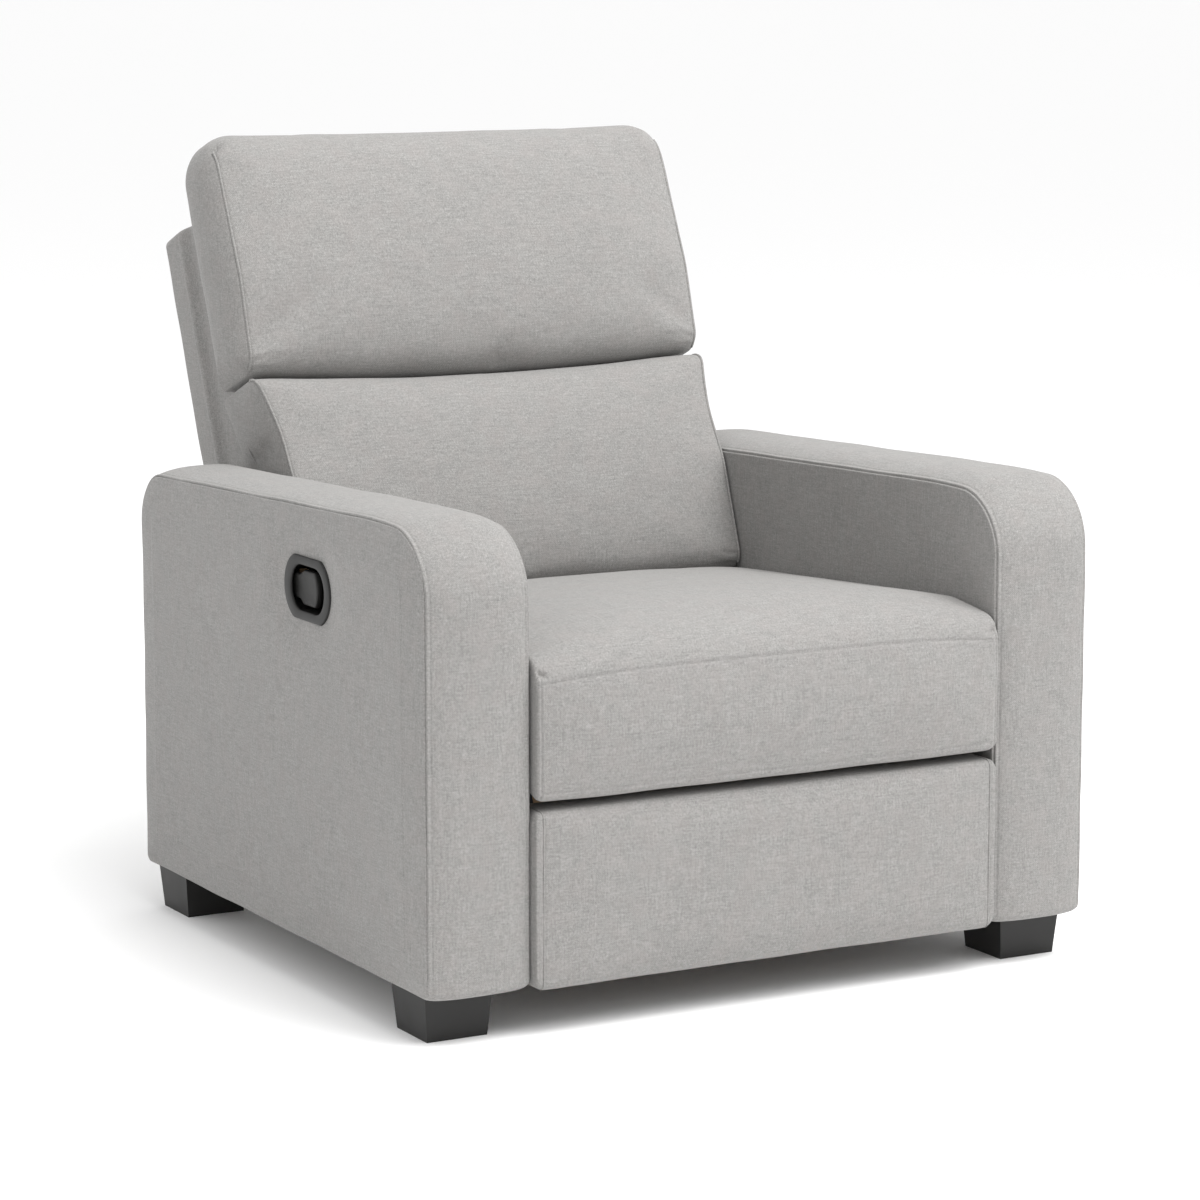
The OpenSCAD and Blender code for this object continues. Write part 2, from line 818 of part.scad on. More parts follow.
module footrest_board() {
    color(timber) translate([-cushion_half + 8, board_front, pad_bottom + 4])
        cube([2 * cushion_half - 16, board_t, pad_top - pad_bottom - 8]);
}

module footrest_core(extra) {
    half = cushion_half - 12 + extra;
    translate([-half, pad_front + 8 - extra, pad_bottom + 12 - extra])
        cube([2 * half, pad_t - 14 + 2 * extra, pad_top - pad_bottom - 24 + 2 * extra]);
}

module footrest_pad() {
    color(fabric) difference() {
        side_plate(-cushion_half, 2 * cushion_half) polygon(rounded([
            [pad_front, pad_bottom, 12], [board_front, pad_bottom, 3],
            [board_front, pad_top, 3], [pad_front, pad_top, 10]
        ]));
        footrest_core(wrap_clear);
    }
}

module footrest_foam() {
    color(foam) footrest_core(0);
}

// ---- nodes ----

place() {
    arm_band(-1);  // arm_band_left
    arm_band(1);  // arm_band_right
    arm_outer_panel(-1);  // arm_outer_panel_left
    arm_outer_panel(1);  // arm_outer_panel_right
    arm_inner_panel(-1);  // arm_inner_panel_left
    arm_inner_panel(1);  // arm_inner_panel_right
    arm_frame(-1);  // arm_frame_left
    arm_frame(1);  // arm_frame_right
    leg(-1, leg_front_y);  // leg_front_left
    leg(1, leg_front_y);  // leg_front_right
    leg(-1, leg_rear_y);  // leg_rear_left
    leg(1, leg_rear_y);  // leg_rear_right
    leg_bolts();
    base_rail(-1);  // base_rail_left
    base_rail(1);  // base_rail_right
    base_pins();
    base_bolts();
    cross_tubes();
    rear_stretcher();
    rear_panel();
    handle_cup();
    pull_handle();
    release_cable();
    release_latch();
    swing_links(front_seat_pivot, front_base_pivot);  // front_swing_links
    swing_links(rear_seat_pivot, rear_base_pivot);  // rear_swing_links
    seat_plate(-1);  // seat_plate_left
    seat_plate(1);  // seat_plate_right
    seat_pins();
    seat_front_rail();
    seat_rear_rail();
    seat_springs();
    spring_clips();
    seat_cushion();
    seat_foam();
    back_brackets();
    back_post(-1);  // back_post_left
    back_post(1);  // back_post_right
    back_rail(back_len - 40, back_len - cover_t - 1);  // back_top_rail
    back_rail(post_foot + 8, post_foot + 58);  // back_bottom_rail
    back_webbing();
    back_cover();
    lumbar_cushion();
    lumbar_foam();
    head_cushion();
    head_foam();
    drive_links();
    torque_tube();
    drive_springs();
    rear_links();
    long_links();
    link_rivets();
    short_links();
    short_link_rivets();
    footrest_brackets();
    footrest_rivets();
    footrest_board();
    footrest_pad();
    footrest_foam();
}
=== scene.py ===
"""Recliner armchair: upholstery, materials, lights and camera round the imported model."""
import json
import math

import bmesh
import bpy
import numpy as np
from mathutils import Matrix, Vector
from mathutils.kdtree import KDTree


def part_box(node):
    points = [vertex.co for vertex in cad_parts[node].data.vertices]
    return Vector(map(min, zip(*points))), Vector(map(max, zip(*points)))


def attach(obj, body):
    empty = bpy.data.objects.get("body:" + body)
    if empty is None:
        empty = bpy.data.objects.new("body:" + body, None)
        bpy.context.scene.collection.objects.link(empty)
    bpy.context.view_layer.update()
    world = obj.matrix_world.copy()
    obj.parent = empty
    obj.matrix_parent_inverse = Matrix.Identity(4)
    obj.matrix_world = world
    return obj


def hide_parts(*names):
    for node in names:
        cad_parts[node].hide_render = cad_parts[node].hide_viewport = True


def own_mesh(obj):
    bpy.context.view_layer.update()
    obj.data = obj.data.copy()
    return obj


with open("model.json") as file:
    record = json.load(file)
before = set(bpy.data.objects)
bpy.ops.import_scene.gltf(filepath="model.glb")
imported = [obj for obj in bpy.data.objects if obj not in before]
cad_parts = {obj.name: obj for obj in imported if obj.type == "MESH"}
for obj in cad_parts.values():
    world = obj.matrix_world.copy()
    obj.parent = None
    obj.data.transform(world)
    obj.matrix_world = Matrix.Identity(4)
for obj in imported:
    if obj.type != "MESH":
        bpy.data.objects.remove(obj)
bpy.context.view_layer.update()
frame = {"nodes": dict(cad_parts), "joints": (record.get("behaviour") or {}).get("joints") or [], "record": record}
NODES = frame["nodes"]
RECORD = frame["record"]
MM = 0.001
SUBDIVIDE = 2         # how often each soft mesh is subdivided

# ---------------------------------------------------------------- places taken from the frame


def low(node):
    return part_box(node)[0]


def high(node):
    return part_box(node)[1]


FRONT = low("arm_band_left").y             # front plane of the arms
REAR = high("arm_band_left").y
ARM_FOOT = low("arm_band_left").z          # underside of the arms
ARM_FRONT_TOP = high("arm_band_left").z
ARM_REAR_TOP = ARM_FRONT_TOP - 29 * MM
OUTER = high("arm_band_right").x           # outer face of an arm
INNER = low("arm_band_right").x            # inner face of an arm
LEAN = math.radians(22)                    # how far the back leans to the rear at rest
BACK_PIVOT = next(j for j in frame["joints"] if j["name"] == "back_recline")["pos_m"]


# ---------------------------------------------------------------- geometry helpers


def ramp(value, start, stop):
    """0 up to start, rising evenly to 1 at stop."""
    return np.clip((value - start) / (stop - start), 0, 1)


def ease(t):
    """Turns an even rise from 0 to 1 into one that starts and ends level."""
    return t ** 2 * (3 - 2 * t)


def corner_arc(a, b, c, r, n):
    """n + 1 points that round corner b, between a and c, to radius r."""
    a, b, c = (np.array(p, float) for p in (a, b, c))
    to_a, to_c = a - b, c - b
    to_a, to_c = to_a / np.linalg.norm(to_a), to_c / np.linalg.norm(to_c)
    half = math.acos(max(-1, min(1, to_a @ to_c))) / 2
    mid = to_a + to_c
    centre = b + mid / np.linalg.norm(mid) * r / math.sin(half)
    first, last = b + to_a * r / math.tan(half) - centre, b + to_c * r / math.tan(half) - centre
    start = math.atan2(first[1], first[0])
    turn = math.atan2(last[1], last[0]) - start
    turn = (turn + math.pi) % (2 * math.pi) - math.pi
    angles = start + turn * np.arange(n + 1) / n
    return centre + r * np.stack([np.cos(angles), np.sin(angles)], 1)


def outline(corners, arc, lines):
    """Closed outline of rounded corners (a, b, radius): arc steps a corner, lines[i] steps after corner i."""
    m = len(corners)
    arcs = [corner_arc(corners[i - 1][:2], corners[i][:2], corners[(i + 1) % m][:2], corners[i][2], arc)
            for i in range(m)]
    points = []
    for i in range(m):
        points.extend(arcs[i])
        a, b = arcs[i][-1], arcs[(i + 1) % m][0]
        points.extend(a + (b - a) * k / lines[i] for k in range(1, lines[i]))
    return np.array(points)


def inset_outline(corners, d, arc, lines):
    """The same outline with every side moved inwards by d and the corners' radii cut to suit."""
    points = np.array([c[:2] for c in corners], float)
    area = np.sum(points[:, 0] * np.roll(points[:, 1], -1) - np.roll(points[:, 0], -1) * points[:, 1])
    turn = 1 if area > 0 else -1
    moved = []
    for i, corner in enumerate(corners):
        before, after = points[i] - points[i - 1], points[(i + 1) % len(points)] - points[i]
        n0, n1 = (turn * np.array([-e[1], e[0]]) / np.linalg.norm(e) for e in (before, after))
        shift = (n0 + n1) / (1 + n0 @ n1) * d
        moved.append((*(points[i] + shift), max(corner[2] - d, 1.5 * MM)))
    return outline(moved, arc, lines)


def inward(ring):
    """Unit normals that point into a closed outline."""
    along = np.roll(ring, -1, 0) - np.roll(ring, 1, 0)
    along /= np.maximum(np.linalg.norm(along, axis=1, keepdims=True), 1e-9)
    area = 0.5 * np.sum(ring[:, 0] * np.roll(ring[:, 1], -1) - np.roll(ring[:, 0], -1) * ring[:, 1])
    normal = np.stack([-along[:, 1], along[:, 0]], 1)
    return normal if area > 0 else -normal


def patch(ring, breaks):
    """Fills a closed ring, split at four breaks, with a grid; returns its indexes and inner points."""
    n = len(ring)
    k0, k1, k2, k3 = breaks
    na, nb = k1 - k0, k2 - k1
    assert k3 - k2 == na and (k0 - k3) % n == nb, (na, nb, k3 - k2, (k0 - k3) % n)
    left = [(k0 + i) % n for i in range(na + 1)]
    right = [(k3 - i) % n for i in range(na + 1)]
    foot = [(k0 - j) % n for j in range(nb + 1)]
    head = [(k1 + j) % n for j in range(nb + 1)]
    grid, inner = np.zeros((na + 1, nb + 1), int), []
    for i in range(na + 1):
        for j in range(nb + 1):
            u, v = i / na, j / nb
            if i in (0, na) or j in (0, nb):
                grid[i, j] = foot[j] if i == 0 else head[j] if i == na else left[i] if j == 0 else right[i]
                continue
            p = (1 - v) * ring[left[i]] + v * ring[right[i]] + (1 - u) * ring[foot[j]] + u * ring[head[j]]
            p = p - ((1 - u) * (1 - v) * ring[k0] + u * (1 - v) * ring[k1] + u * v * ring[k2]
                     + (1 - u) * v * ring[k3])
            grid[i, j] = n + len(inner)
            inner.append(p)
    return grid, np.array(inner)


def ring_quads(a, b, n):
    """Quads between two closed rings of n vertices, the first of each at a and at b."""
    return [(a + k, a + (k + 1) % n, b + (k + 1) % n, b + k) for k in range(n)]


def block(rows, breaks, bulge, insets, panel_ring, place):
    """Closed mesh data of a sewn block.

    rows: list of (x, ring) from one side panel's seam to the other, each ring an outline of the same length.
    insets: how far each extra ring of a side panel lies inside the seam; bulge(d) is its swell there
    and panel_ring(d) its outline.
    breaks: four indexes that split a side panel's edge into the sides of a grid.
    place: turns (x, ring) into points in the row frame.
    Returns vertices, faces and the first vertex of each row of the band.
    """
    verts, faces, starts = [], [], []
    n = len(rows[0][1])

    def add_ring(x, ring):
        starts.append(len(verts))
        verts.extend(place(np.full(len(ring), x), ring))
        return starts[-1]

    def join(a, b):
        faces.extend(ring_quads(a, b, n))

    def panel(current, x, side):
        for d in insets:
            ring = panel_ring(d)
            new = add_ring(x + side * bulge(d), ring)
            join(new, current) if side < 0 else join(current, new)
            current = new
        grid, points = patch(ring, breaks)
        base = len(verts)
        verts.extend(place(np.full(len(points), x + side * bulge(1.0)), points))
        index = np.where(grid < n, current + grid, base + grid - n)
        for i in range(index.shape[0] - 1):
            for j in range(index.shape[1] - 1):
                quad = (index[i, j], index[i, j + 1], index[i + 1, j + 1], index[i + 1, j])
                faces.append(quad if side < 0 else quad[::-1])

    band = [add_ring(x, ring) for x, ring in rows]
    for a, b in zip(band, band[1:]):
        join(a, b)
    panel(band[0], rows[0][0], -1)
    panel(band[-1], rows[-1][0], 1)
    return np.array([list(v) for v in verts]), faces, band


def back_coords(points):
    """Forward of (v) and along (u) the leaning back, for points in the row frame."""
    y, z = points[:, 1] - BACK_PIVOT[1], points[:, 2] - BACK_PIVOT[2]
    return z * math.sin(LEAN) - y * math.cos(LEAN), y * math.sin(LEAN) + z * math.cos(LEAN)


def upright(x, ring):
    """Outline points (y, z) stay as they are."""
    return np.stack([x, ring[:, 0], ring[:, 1]], 1)


def on_back(x, ring):
    """Outline points (v, u), forward of and along the leaning back, from the back's pivot."""
    v, u = ring[:, 0], ring[:, 1]
    y = BACK_PIVOT[1] + u * math.sin(LEAN) - v * math.cos(LEAN)
    z = BACK_PIVOT[2] + u * math.cos(LEAN) + v * math.sin(LEAN)
    return np.stack([x, y, z], 1)


def smooth(mesh):
    mesh.polygons.foreach_set("use_smooth", [True] * len(mesh.polygons))


def edit_mesh(obj, change):
    """Runs change(work) on an object's mesh, opened as a bmesh."""
    work = bmesh.new()
    work.from_mesh(obj.data)
    change(work)
    work.to_mesh(obj.data)
    work.free()


def face_outwards(work):
    bmesh.ops.recalc_face_normals(work, faces=work.faces)


def make_object(name, verts, faces, material):
    mesh = bpy.data.meshes.new(name)
    mesh.from_pydata([tuple(v) for v in verts], [], [tuple(int(i) for i in f) for f in faces])
    mesh.update()
    obj = bpy.data.objects.new(name, mesh)
    bpy.context.collection.objects.link(obj)
    obj.data.materials.append(material)
    edit_mesh(obj, face_outwards)
    smooth(mesh)
    return obj


def points_of(mesh, what="co"):
    values = np.empty(len(mesh.vertices) * 3, np.float32)
    mesh.vertices.foreach_get(what, values)
    return values.reshape(-1, 3).astype(float)


def normals_of(mesh):
    return points_of(mesh, "normal")


def set_points(mesh, co):
    mesh.vertices.foreach_set("co", co.astype(np.float32).ravel())
    mesh.update()


def apply_modifiers(obj):
    """Replaces an object's mesh by its evaluated mesh."""
    graph = bpy.context.evaluated_depsgraph_get()
    mesh = bpy.data.meshes.new_from_object(obj.evaluated_get(graph), depsgraph=graph)
    obj.modifiers.clear()
    obj.data = mesh
    smooth(mesh)


def subdivide(obj):
    mod = obj.modifiers.new("subdivide", "SUBSURF")
    mod.levels = mod.render_levels = SUBDIVIDE
    apply_modifiers(obj)


def inflate(obj, held, cap, pressure=4.0, stiffness=15.0, frames=20):
    """Blows a closed mesh up as cloth with the held vertices pinned, and caps how far a point moves."""
    rest = points_of(obj.data)
    group = obj.vertex_groups.new(name="held")
    group.add([int(i) for i in held], 1.0, "REPLACE")
    mod = obj.modifiers.new("cloth", "CLOTH")
    cloth = mod.settings
    cloth.quality = 6
    cloth.mass = 0.3
    cloth.tension_stiffness = cloth.compression_stiffness = stiffness
    cloth.shear_stiffness = stiffness * 0.6
    cloth.bending_stiffness = 3.0
    cloth.air_damping = 2.0
    cloth.use_pressure = True
    cloth.uniform_pressure_force = pressure
    cloth.vertex_group_mass = "held"
    cloth.pin_stiffness = 1.0
    cloth.effector_weights.gravity = 0.0
    mod.collision_settings.use_self_collision = False
    mod.point_cache.frame_start, mod.point_cache.frame_end = 1, frames
    scene = bpy.context.scene
    for f in range(1, frames + 1):
        scene.frame_set(f)
    apply_modifiers(obj)
    scene.frame_set(1)
    obj.vertex_groups.clear()
    moved = points_of(obj.data) - rest
    length = np.linalg.norm(moved, axis=1, keepdims=True)
    moved *= np.minimum(1.0, cap * np.tanh(length / cap) / np.maximum(length, 1e-9))
    set_points(obj.data, rest + moved)


def tree_of(points):
    tree = KDTree(len(points))
    for i, p in enumerate(points):
        tree.insert(p, i)
    tree.balance()
    return tree


def near(points, line, reach):
    """Distance from each point to a densely sampled line; points out of reach count as far away."""
    tree = tree_of(line)
    lo, hi = line.min(0) - reach, line.max(0) + reach
    inside = np.all((points > lo) & (points < hi), axis=1)
    distance = np.full(len(points), 1e3)
    for i in np.nonzero(inside)[0]:
        distance[i] = tree.find(points[i])[2]
    return distance


def dense(line, step=1.5 * MM, closed=False):
    """Resamples a polyline at an even step."""
    line = np.asarray(line, float)
    if closed:
        line = np.vstack([line, line[:1]])
    gap = np.linalg.norm(np.diff(line, axis=0), axis=1)
    at = np.concatenate([[0], np.cumsum(gap)])
    count = max(2, int(at[-1] / step))
    where = np.linspace(0, at[-1], count, endpoint=not closed)
    return np.stack([np.interp(where, at, line[:, k]) for k in range(3)], 1)


def groove(obj, line, depth, width):
    """Presses a rounded groove along a line into a fine mesh."""
    shift_points(obj, lambda co, normals: -normals * (
        depth * np.exp(-((near(co, line, width * 3) / width) ** 2)))[:, None])


def tube(name, line, radius, material, sides=8, normals=None):
    """A cord of round section along a line."""
    n = len(line)
    along = np.gradient(line, axis=0)
    along /= np.maximum(np.linalg.norm(along, axis=1, keepdims=True), 1e-12)
    if normals is None:
        normals = np.tile([0.31, 0.17, 0.93], (n, 1))
    side = np.cross(along, normals)
    side /= np.maximum(np.linalg.norm(side, axis=1, keepdims=True), 1e-12)
    up = np.cross(side, along)
    angle = 2 * np.pi * np.arange(sides) / sides
    ring = (side[:, None, :] * np.cos(angle)[None, :, None]
            + up[:, None, :] * np.sin(angle)[None, :, None]) * radius
    verts = (line[:, None, :] + ring).reshape(-1, 3)
    faces = [quad for i in range(n - 1) for quad in ring_quads(i * sides, (i + 1) * sides, sides)]
    faces += [tuple(range(sides))[::-1], tuple((n - 1) * sides + k for k in range(sides))]
    return make_object(name, verts, faces, material)


def surface_normals(obj, line):
    """The normal of the nearest vertex of an object at each point of a line."""
    co, no = points_of(obj.data), normals_of(obj.data)
    lo, hi = line.min(0) - 0.02, line.max(0) + 0.02
    keep = np.nonzero(np.all((co > lo) & (co < hi), axis=1))[0]
    tree = tree_of(co[keep])
    found = np.array([no[keep[tree.find(p)[1]]] for p in line])
    for _ in range(3):
        found = (np.roll(found, 1, 0) + found + np.roll(found, -1, 0)) / 3
    return found / np.linalg.norm(found, axis=1, keepdims=True)


def join_to(obj, *others):
    bpy.ops.object.select_all(action="DESELECT")
    for o in others:
        o.select_set(True)
    obj.select_set(True)
    bpy.context.view_layer.objects.active = obj
    bpy.ops.object.join()


def spread(half, step, edge=(0, 2.5, 6, 11)):
    """Places across a band, fine near both seams."""
    fine = [half - e * MM for e in edge]
    count = max(2, round(2 * fine[-1] / step))
    middle = [-fine[-1] + 2 * fine[-1] * k / count for k in range(1, count)]
    return [-x for x in fine] + middle + fine[::-1]


def seam_part(seam, keep):
    """The unbroken run of a closed seam's points where keep is true."""
    first = np.nonzero(keep & ~np.roll(keep, 1))[0][0]
    return np.roll(seam, -first, 0)[:int(keep.sum())]


def shift_points(obj, change):
    """Moves every vertex by change(points, normals)."""
    co = points_of(obj.data)
    set_points(obj.data, co + change(co, normals_of(obj.data)))


def dimple(obj, at, along, depth, long_r, short_r):
    """Presses an oval dent, long along a direction, into a mesh."""
    at, along = np.array(at, float), np.array(along, float)
    along /= np.linalg.norm(along)

    def change(co, normals):
        d = co - at
        run = d @ along
        across = np.linalg.norm(d - run[:, None] * along, axis=1)
        fall = np.exp(-(run / long_r) ** 2 - (across / short_r) ** 2)
        return -normals * (depth * fall)[:, None]

    shift_points(obj, change)


def ripple(obj, height, length, seed=0.0):
    """Slow unevenness of stretched cloth over padding."""

    def change(co, normals):
        k = 2 * math.pi / length
        x, y, z = co.T
        a = np.sin(k * (x + 0.4 * z) + seed) * np.sin(k * 0.83 * (y - 0.3 * x) + 1.7 * seed)
        b = np.sin(k * 1.7 * (z + 0.2 * y) + 2.1 + seed) * np.sin(k * 1.3 * (x + y) + 0.6)
        return normals * (height * (0.6 * a + 0.4 * b))[:, None]

    shift_points(obj, change)


def round_box(lo, hi, radius, step, open_sides=()):
    """A box of fine quads with rounded edges; open sides, such as "-y", are left out and stay square."""
    lo, hi = np.array(lo, float), np.array(hi, float)
    inner_lo, inner_hi = lo + radius, hi - radius
    for side in open_sides:
        axis = "xyz".index(side[1])
        (inner_lo if side[0] == "-" else inner_hi)[axis] = (lo if side[0] == "-" else hi)[axis]
    ticks = []
    for k in range(3):
        fine = [0, 0.3 * radius, 0.6 * radius, radius]
        count = max(1, round((hi[k] - lo[k] - 2 * radius) / step))
        middle = np.linspace(lo[k] + radius, hi[k] - radius, count + 1)[1:-1]
        ticks.append(np.array([lo[k] + f for f in fine] + list(middle) + [hi[k] - f for f in fine[::-1]]))
    verts, faces = [], []
    for axis in range(3):
        u, v = (axis + 1) % 3, (axis + 2) % 3
        for sign in (-1, 1):
            if ("-" if sign < 0 else "+") + "xyz"[axis] in open_sides:
                continue
            grid_u, grid_v = np.meshgrid(ticks[u], ticks[v], indexing="ij")
            points = np.empty(grid_u.shape + (3,))
            points[..., u], points[..., v] = grid_u, grid_v
            points[..., axis] = lo[axis] if sign < 0 else hi[axis]
            base, (nu, nv) = len(verts), grid_u.shape
            verts.extend(points.reshape(-1, 3))
            for i in range(nu - 1):
                for start in range(base + i * nv, base + i * nv + nv - 1):
                    faces.append((start, start + nv, start + nv + 1, start + 1))
    verts = np.array(verts)
    core = np.clip(verts, inner_lo, inner_hi)
    out = verts - core
    length = np.maximum(np.linalg.norm(out, axis=1, keepdims=True), 1e-9)
    return core + out / length * np.minimum(length, radius), faces


def merge_close(obj):
    """Joins the sides of a box along its edges."""
    def merge(work):
        bmesh.ops.remove_doubles(work, verts=work.verts, dist=0.05 * MM)
        face_outwards(work)

    edit_mesh(obj, merge)
    smooth(obj.data)


def drop_faces(obj, wanted):
    """Deletes the faces for which wanted(face) is true."""
    def drop(work):
        bmesh.ops.delete(work, geom=[f for f in work.faces if wanted(f)], context="FACES")

    edit_mesh(obj, drop)


def close_holes(obj):
    def fill(work):
        bmesh.ops.holes_fill(work, edges=[e for e in work.edges if e.is_boundary], sides=0)
        face_outwards(work)

    edit_mesh(obj, fill)


# ---------------------------------------------------------------- materials


class Surface:
    """A material on its principled shader, with the few kinds of nodes that the materials below share."""

    def __init__(self, name):
        self.material = bpy.data.materials.new(name)
        self.material.use_nodes = True
        self.tree = self.material.node_tree
        self.shader = self.tree.nodes["Principled BSDF"]

    def put(self, value, socket):
        """Sets a number, a vector or a colour on a socket, or links an output to it."""
        if isinstance(value, (int, float)):
            socket.default_value = value
        elif isinstance(value, tuple):
            socket.default_value = (*value, 1.0) if socket.type == "RGBA" else value
        else:
            self.tree.links.new(value, socket)

    def shade(self, **inputs):
        """Sets inputs of the shader; an underscore stands for a space in an input's name."""
        for key, value in inputs.items():
            self.put(value, self.shader.inputs[key.replace("_", " ")])

    def node(self, kind, inputs, **settings):
        made = self.tree.nodes.new(kind)
        for key, value in settings.items():
            setattr(made, key, value)
        for key, value in inputs.items():
            self.put(value, made.inputs[key])
        return made

    def coords(self):
        return self.node("ShaderNodeTexCoord", {}).outputs["Object"]

    def split(self, vector):
        return self.node("ShaderNodeSeparateXYZ", {0: vector}).outputs

    def math(self, operation, *values):
        return self.node("ShaderNodeMath", dict(enumerate(values)), operation=operation).outputs[0]

    def noise(self, size, detail, rough, stretch=(1, 1, 1)):
        mapping = self.node("ShaderNodeMapping", {"Vector": self.coords(), "Scale": stretch})
        inputs = {"Vector": mapping.outputs[0], "Scale": size, "Detail": detail, "Roughness": rough}
        return self.node("ShaderNodeTexNoise", inputs).outputs["Fac"]

    def remap(self, value, source=(0, 1), target=(0, 1)):
        inputs = {"Value": value, "From Min": source[0], "From Max": source[1], "To Min": target[0],
                  "To Max": target[1]}
        return self.node("ShaderNodeMapRange", inputs).outputs[0]

    def mix(self, factor, a, b, blend="MIX"):
        made = self.node("ShaderNodeMix", {}, data_type="RGBA", blend_type=blend)
        for key, value in ((0, factor), (6, a), (7, b)):
            self.put(value, made.inputs[key])
        return made.outputs[2]

    def bump(self, height, strength, distance):
        made = self.node("ShaderNodeBump", {"Height": height, "Strength": strength, "Distance": distance})
        self.put(made.outputs[0], self.shader.inputs["Normal"])


def scaled(shade, k):
    return tuple(min(1.0, c * k) for c in shade)


def fabric_material(name, shade, fleck, yarn=1.25 * MM):
    """Plain-weave cloth: crossed yarns on whichever plane a surface faces, slubs and a mottled dye."""
    cloth = Surface(name)

    def times(a, b):
        return cloth.math("MULTIPLY", a, b)

    def add(a, b, c):
        return cloth.math("ADD", cloth.math("ADD", a, b), c)

    def tone(colour, value, source, target):
        return cloth.mix(1.0, colour, cloth.remap(value, source, target), "MULTIPLY")

    wx, wy, wz = (cloth.math("SINE", times(s, math.pi / yarn)) for s in cloth.split(cloth.coords()))
    facing = cloth.split(cloth.node("ShaderNodeNewGeometry", {}).outputs["Normal"])
    fx, fy, fz = (cloth.math("POWER", cloth.math("ABSOLUTE", s), 6.0) for s in facing)
    weave = add(times(times(wx, wz), fy), times(times(wy, wz), fx), times(times(wx, wy), fz))
    weave = cloth.math("MULTIPLY_ADD", cloth.math("DIVIDE", weave, add(fx, fy, fz)), 0.5, 0.5)
    runs = ((52, 560, 560), (560, 560, 52), (560, 52, 560))
    slubs = times(add(*(cloth.noise(1.0, 2.0, 0.6, run) for run in runs)), 1 / 3)
    fine, cloud, warm = cloth.noise(560, 3.0, 0.6), cloth.noise(26, 3.0, 0.55), cloth.noise(38, 2.0, 0.5)

    colour = cloth.mix(cloth.remap(slubs, (0.40, 0.60)), scaled(shade, 1 - fleck), scaled(shade, 1 + fleck))
    colour = tone(colour, fine, (0.3, 0.7), (1 - fleck * 1.3, 1 + fleck * 1.3))
    colour = tone(colour, weave, (0, 1), (1 - fleck * 0.9, 1.0))
    warmer = tuple(c * k for c, k in zip(shade, (1.05, 0.965, 0.96)))
    colour = cloth.mix(cloth.remap(warm, (0.42, 0.68), (0, 0.2)), colour, warmer)
    colour = tone(colour, cloud, (0.3, 0.7), (0.985, 1.015))
    cloth.shade(Base_Color=colour, Roughness=0.92, Specular_IOR_Level=0.18, Sheen_Weight=0.18,
                Sheen_Roughness=0.5)
    cloth.bump(cloth.math("ADD", times(weave, 0.5), times(slubs, 1.4)), 0.55, 0.4 * MM)
    return cloth.material


def plastic_material(name, shade, roughness, grain):
    """Moulded or lacquered black: fine grain in the bump and a little uneven gloss."""
    plastic = Surface(name)
    smear = plastic.noise(22, 3.0, 0.5)
    plastic.shade(Base_Color=plastic.mix(smear, scaled(shade, 0.85), scaled(shade, 1.15)),
                  Roughness=plastic.remap(smear, target=(roughness - 0.08, roughness + 0.1)),
                  Specular_IOR_Level=0.35)
    plastic.bump(plastic.noise(grain, 4.0, 0.6), 0.25, 0.08 * MM)
    return plastic.material


def metal_material(name, shade, roughness, metallic, brush):
    """Plated or painted steel: patchy tone, and streaks in the gloss."""
    metal = Surface(name)
    streak, patchy = metal.noise(1.0, 3.0, 0.6, brush), metal.noise(34, 4.0, 0.6)
    metal.shade(Base_Color=metal.mix(patchy, scaled(shade, 0.8), scaled(shade, 1.2)), Metallic=metallic,
                Roughness=metal.remap(streak, target=(roughness - 0.1, roughness + 0.12)))
    metal.bump(streak, 0.15, 0.05 * MM)
    return metal.material


def wood_material(name, light, dark):
    """Raw frame timber: long grain and the darker lines of the plies."""
    wood = Surface(name)
    grain, rings = wood.noise(1.0, 5.0, 0.62, (9, 120, 120)), wood.noise(1.0, 2.0, 0.5, (3, 34, 34))
    both = wood.math("ADD", wood.math("MULTIPLY", grain, 0.6), wood.math("MULTIPLY", rings, 0.4))
    wood.shade(Base_Color=wood.mix(wood.remap(both, (0.35, 0.65)), dark, light), Roughness=0.72)
    wood.bump(grain, 0.3, 0.2 * MM)
    return wood.material


def foam_material(name, shade):
    """Open foam: small cells."""
    foam = Surface(name)
    cells = foam.node("ShaderNodeTexVoronoi", {"Vector": foam.coords(), "Scale": 420}).outputs["Distance"]
    foam.shade(Base_Color=foam.mix(cells, scaled(shade, 0.8), shade), Roughness=0.95)
    foam.bump(cells, 1.0, 0.5 * MM)
    return foam.material


FABRIC = fabric_material("upholstery", (0.245, 0.240, 0.232), 0.15)
MATERIALS = {
    "fabric": FABRIC,
    "foam": foam_material("foam", (0.86, 0.8, 0.62)),
    "frame_wood": wood_material("frame_timber", (0.66, 0.48, 0.3), (0.44, 0.28, 0.15)),
    "leg_black": plastic_material("lacquered_leg", (0.012, 0.0115, 0.011), 0.46, 900),
    "black_steel": metal_material("black_steel", (0.03, 0.03, 0.033), 0.42, 0.0, (60, 60, 60)),
    "zinc_steel": metal_material("zinc_plate", (0.6, 0.6, 0.58), 0.35, 1.0, (80, 700, 700)),
    "spring_steel": metal_material("spring_wire", (0.3, 0.29, 0.28), 0.4, 1.0, (400, 400, 400)),
    "webbing": fabric_material("webbing", (0.03, 0.03, 0.03), 0.3, 1.6 * MM),
    "black_plastic": plastic_material("moulded_plastic", (0.015, 0.0147, 0.014), 0.5, 1500),
}
SLOT_OF = {part["node"]: part["material_slot"] for part in RECORD["subparts"]}
for node_name, cad_object in NODES.items():
    cad_object.data.materials.clear()
    cad_object.data.materials.append(MATERIALS[SLOT_OF[node_name]])


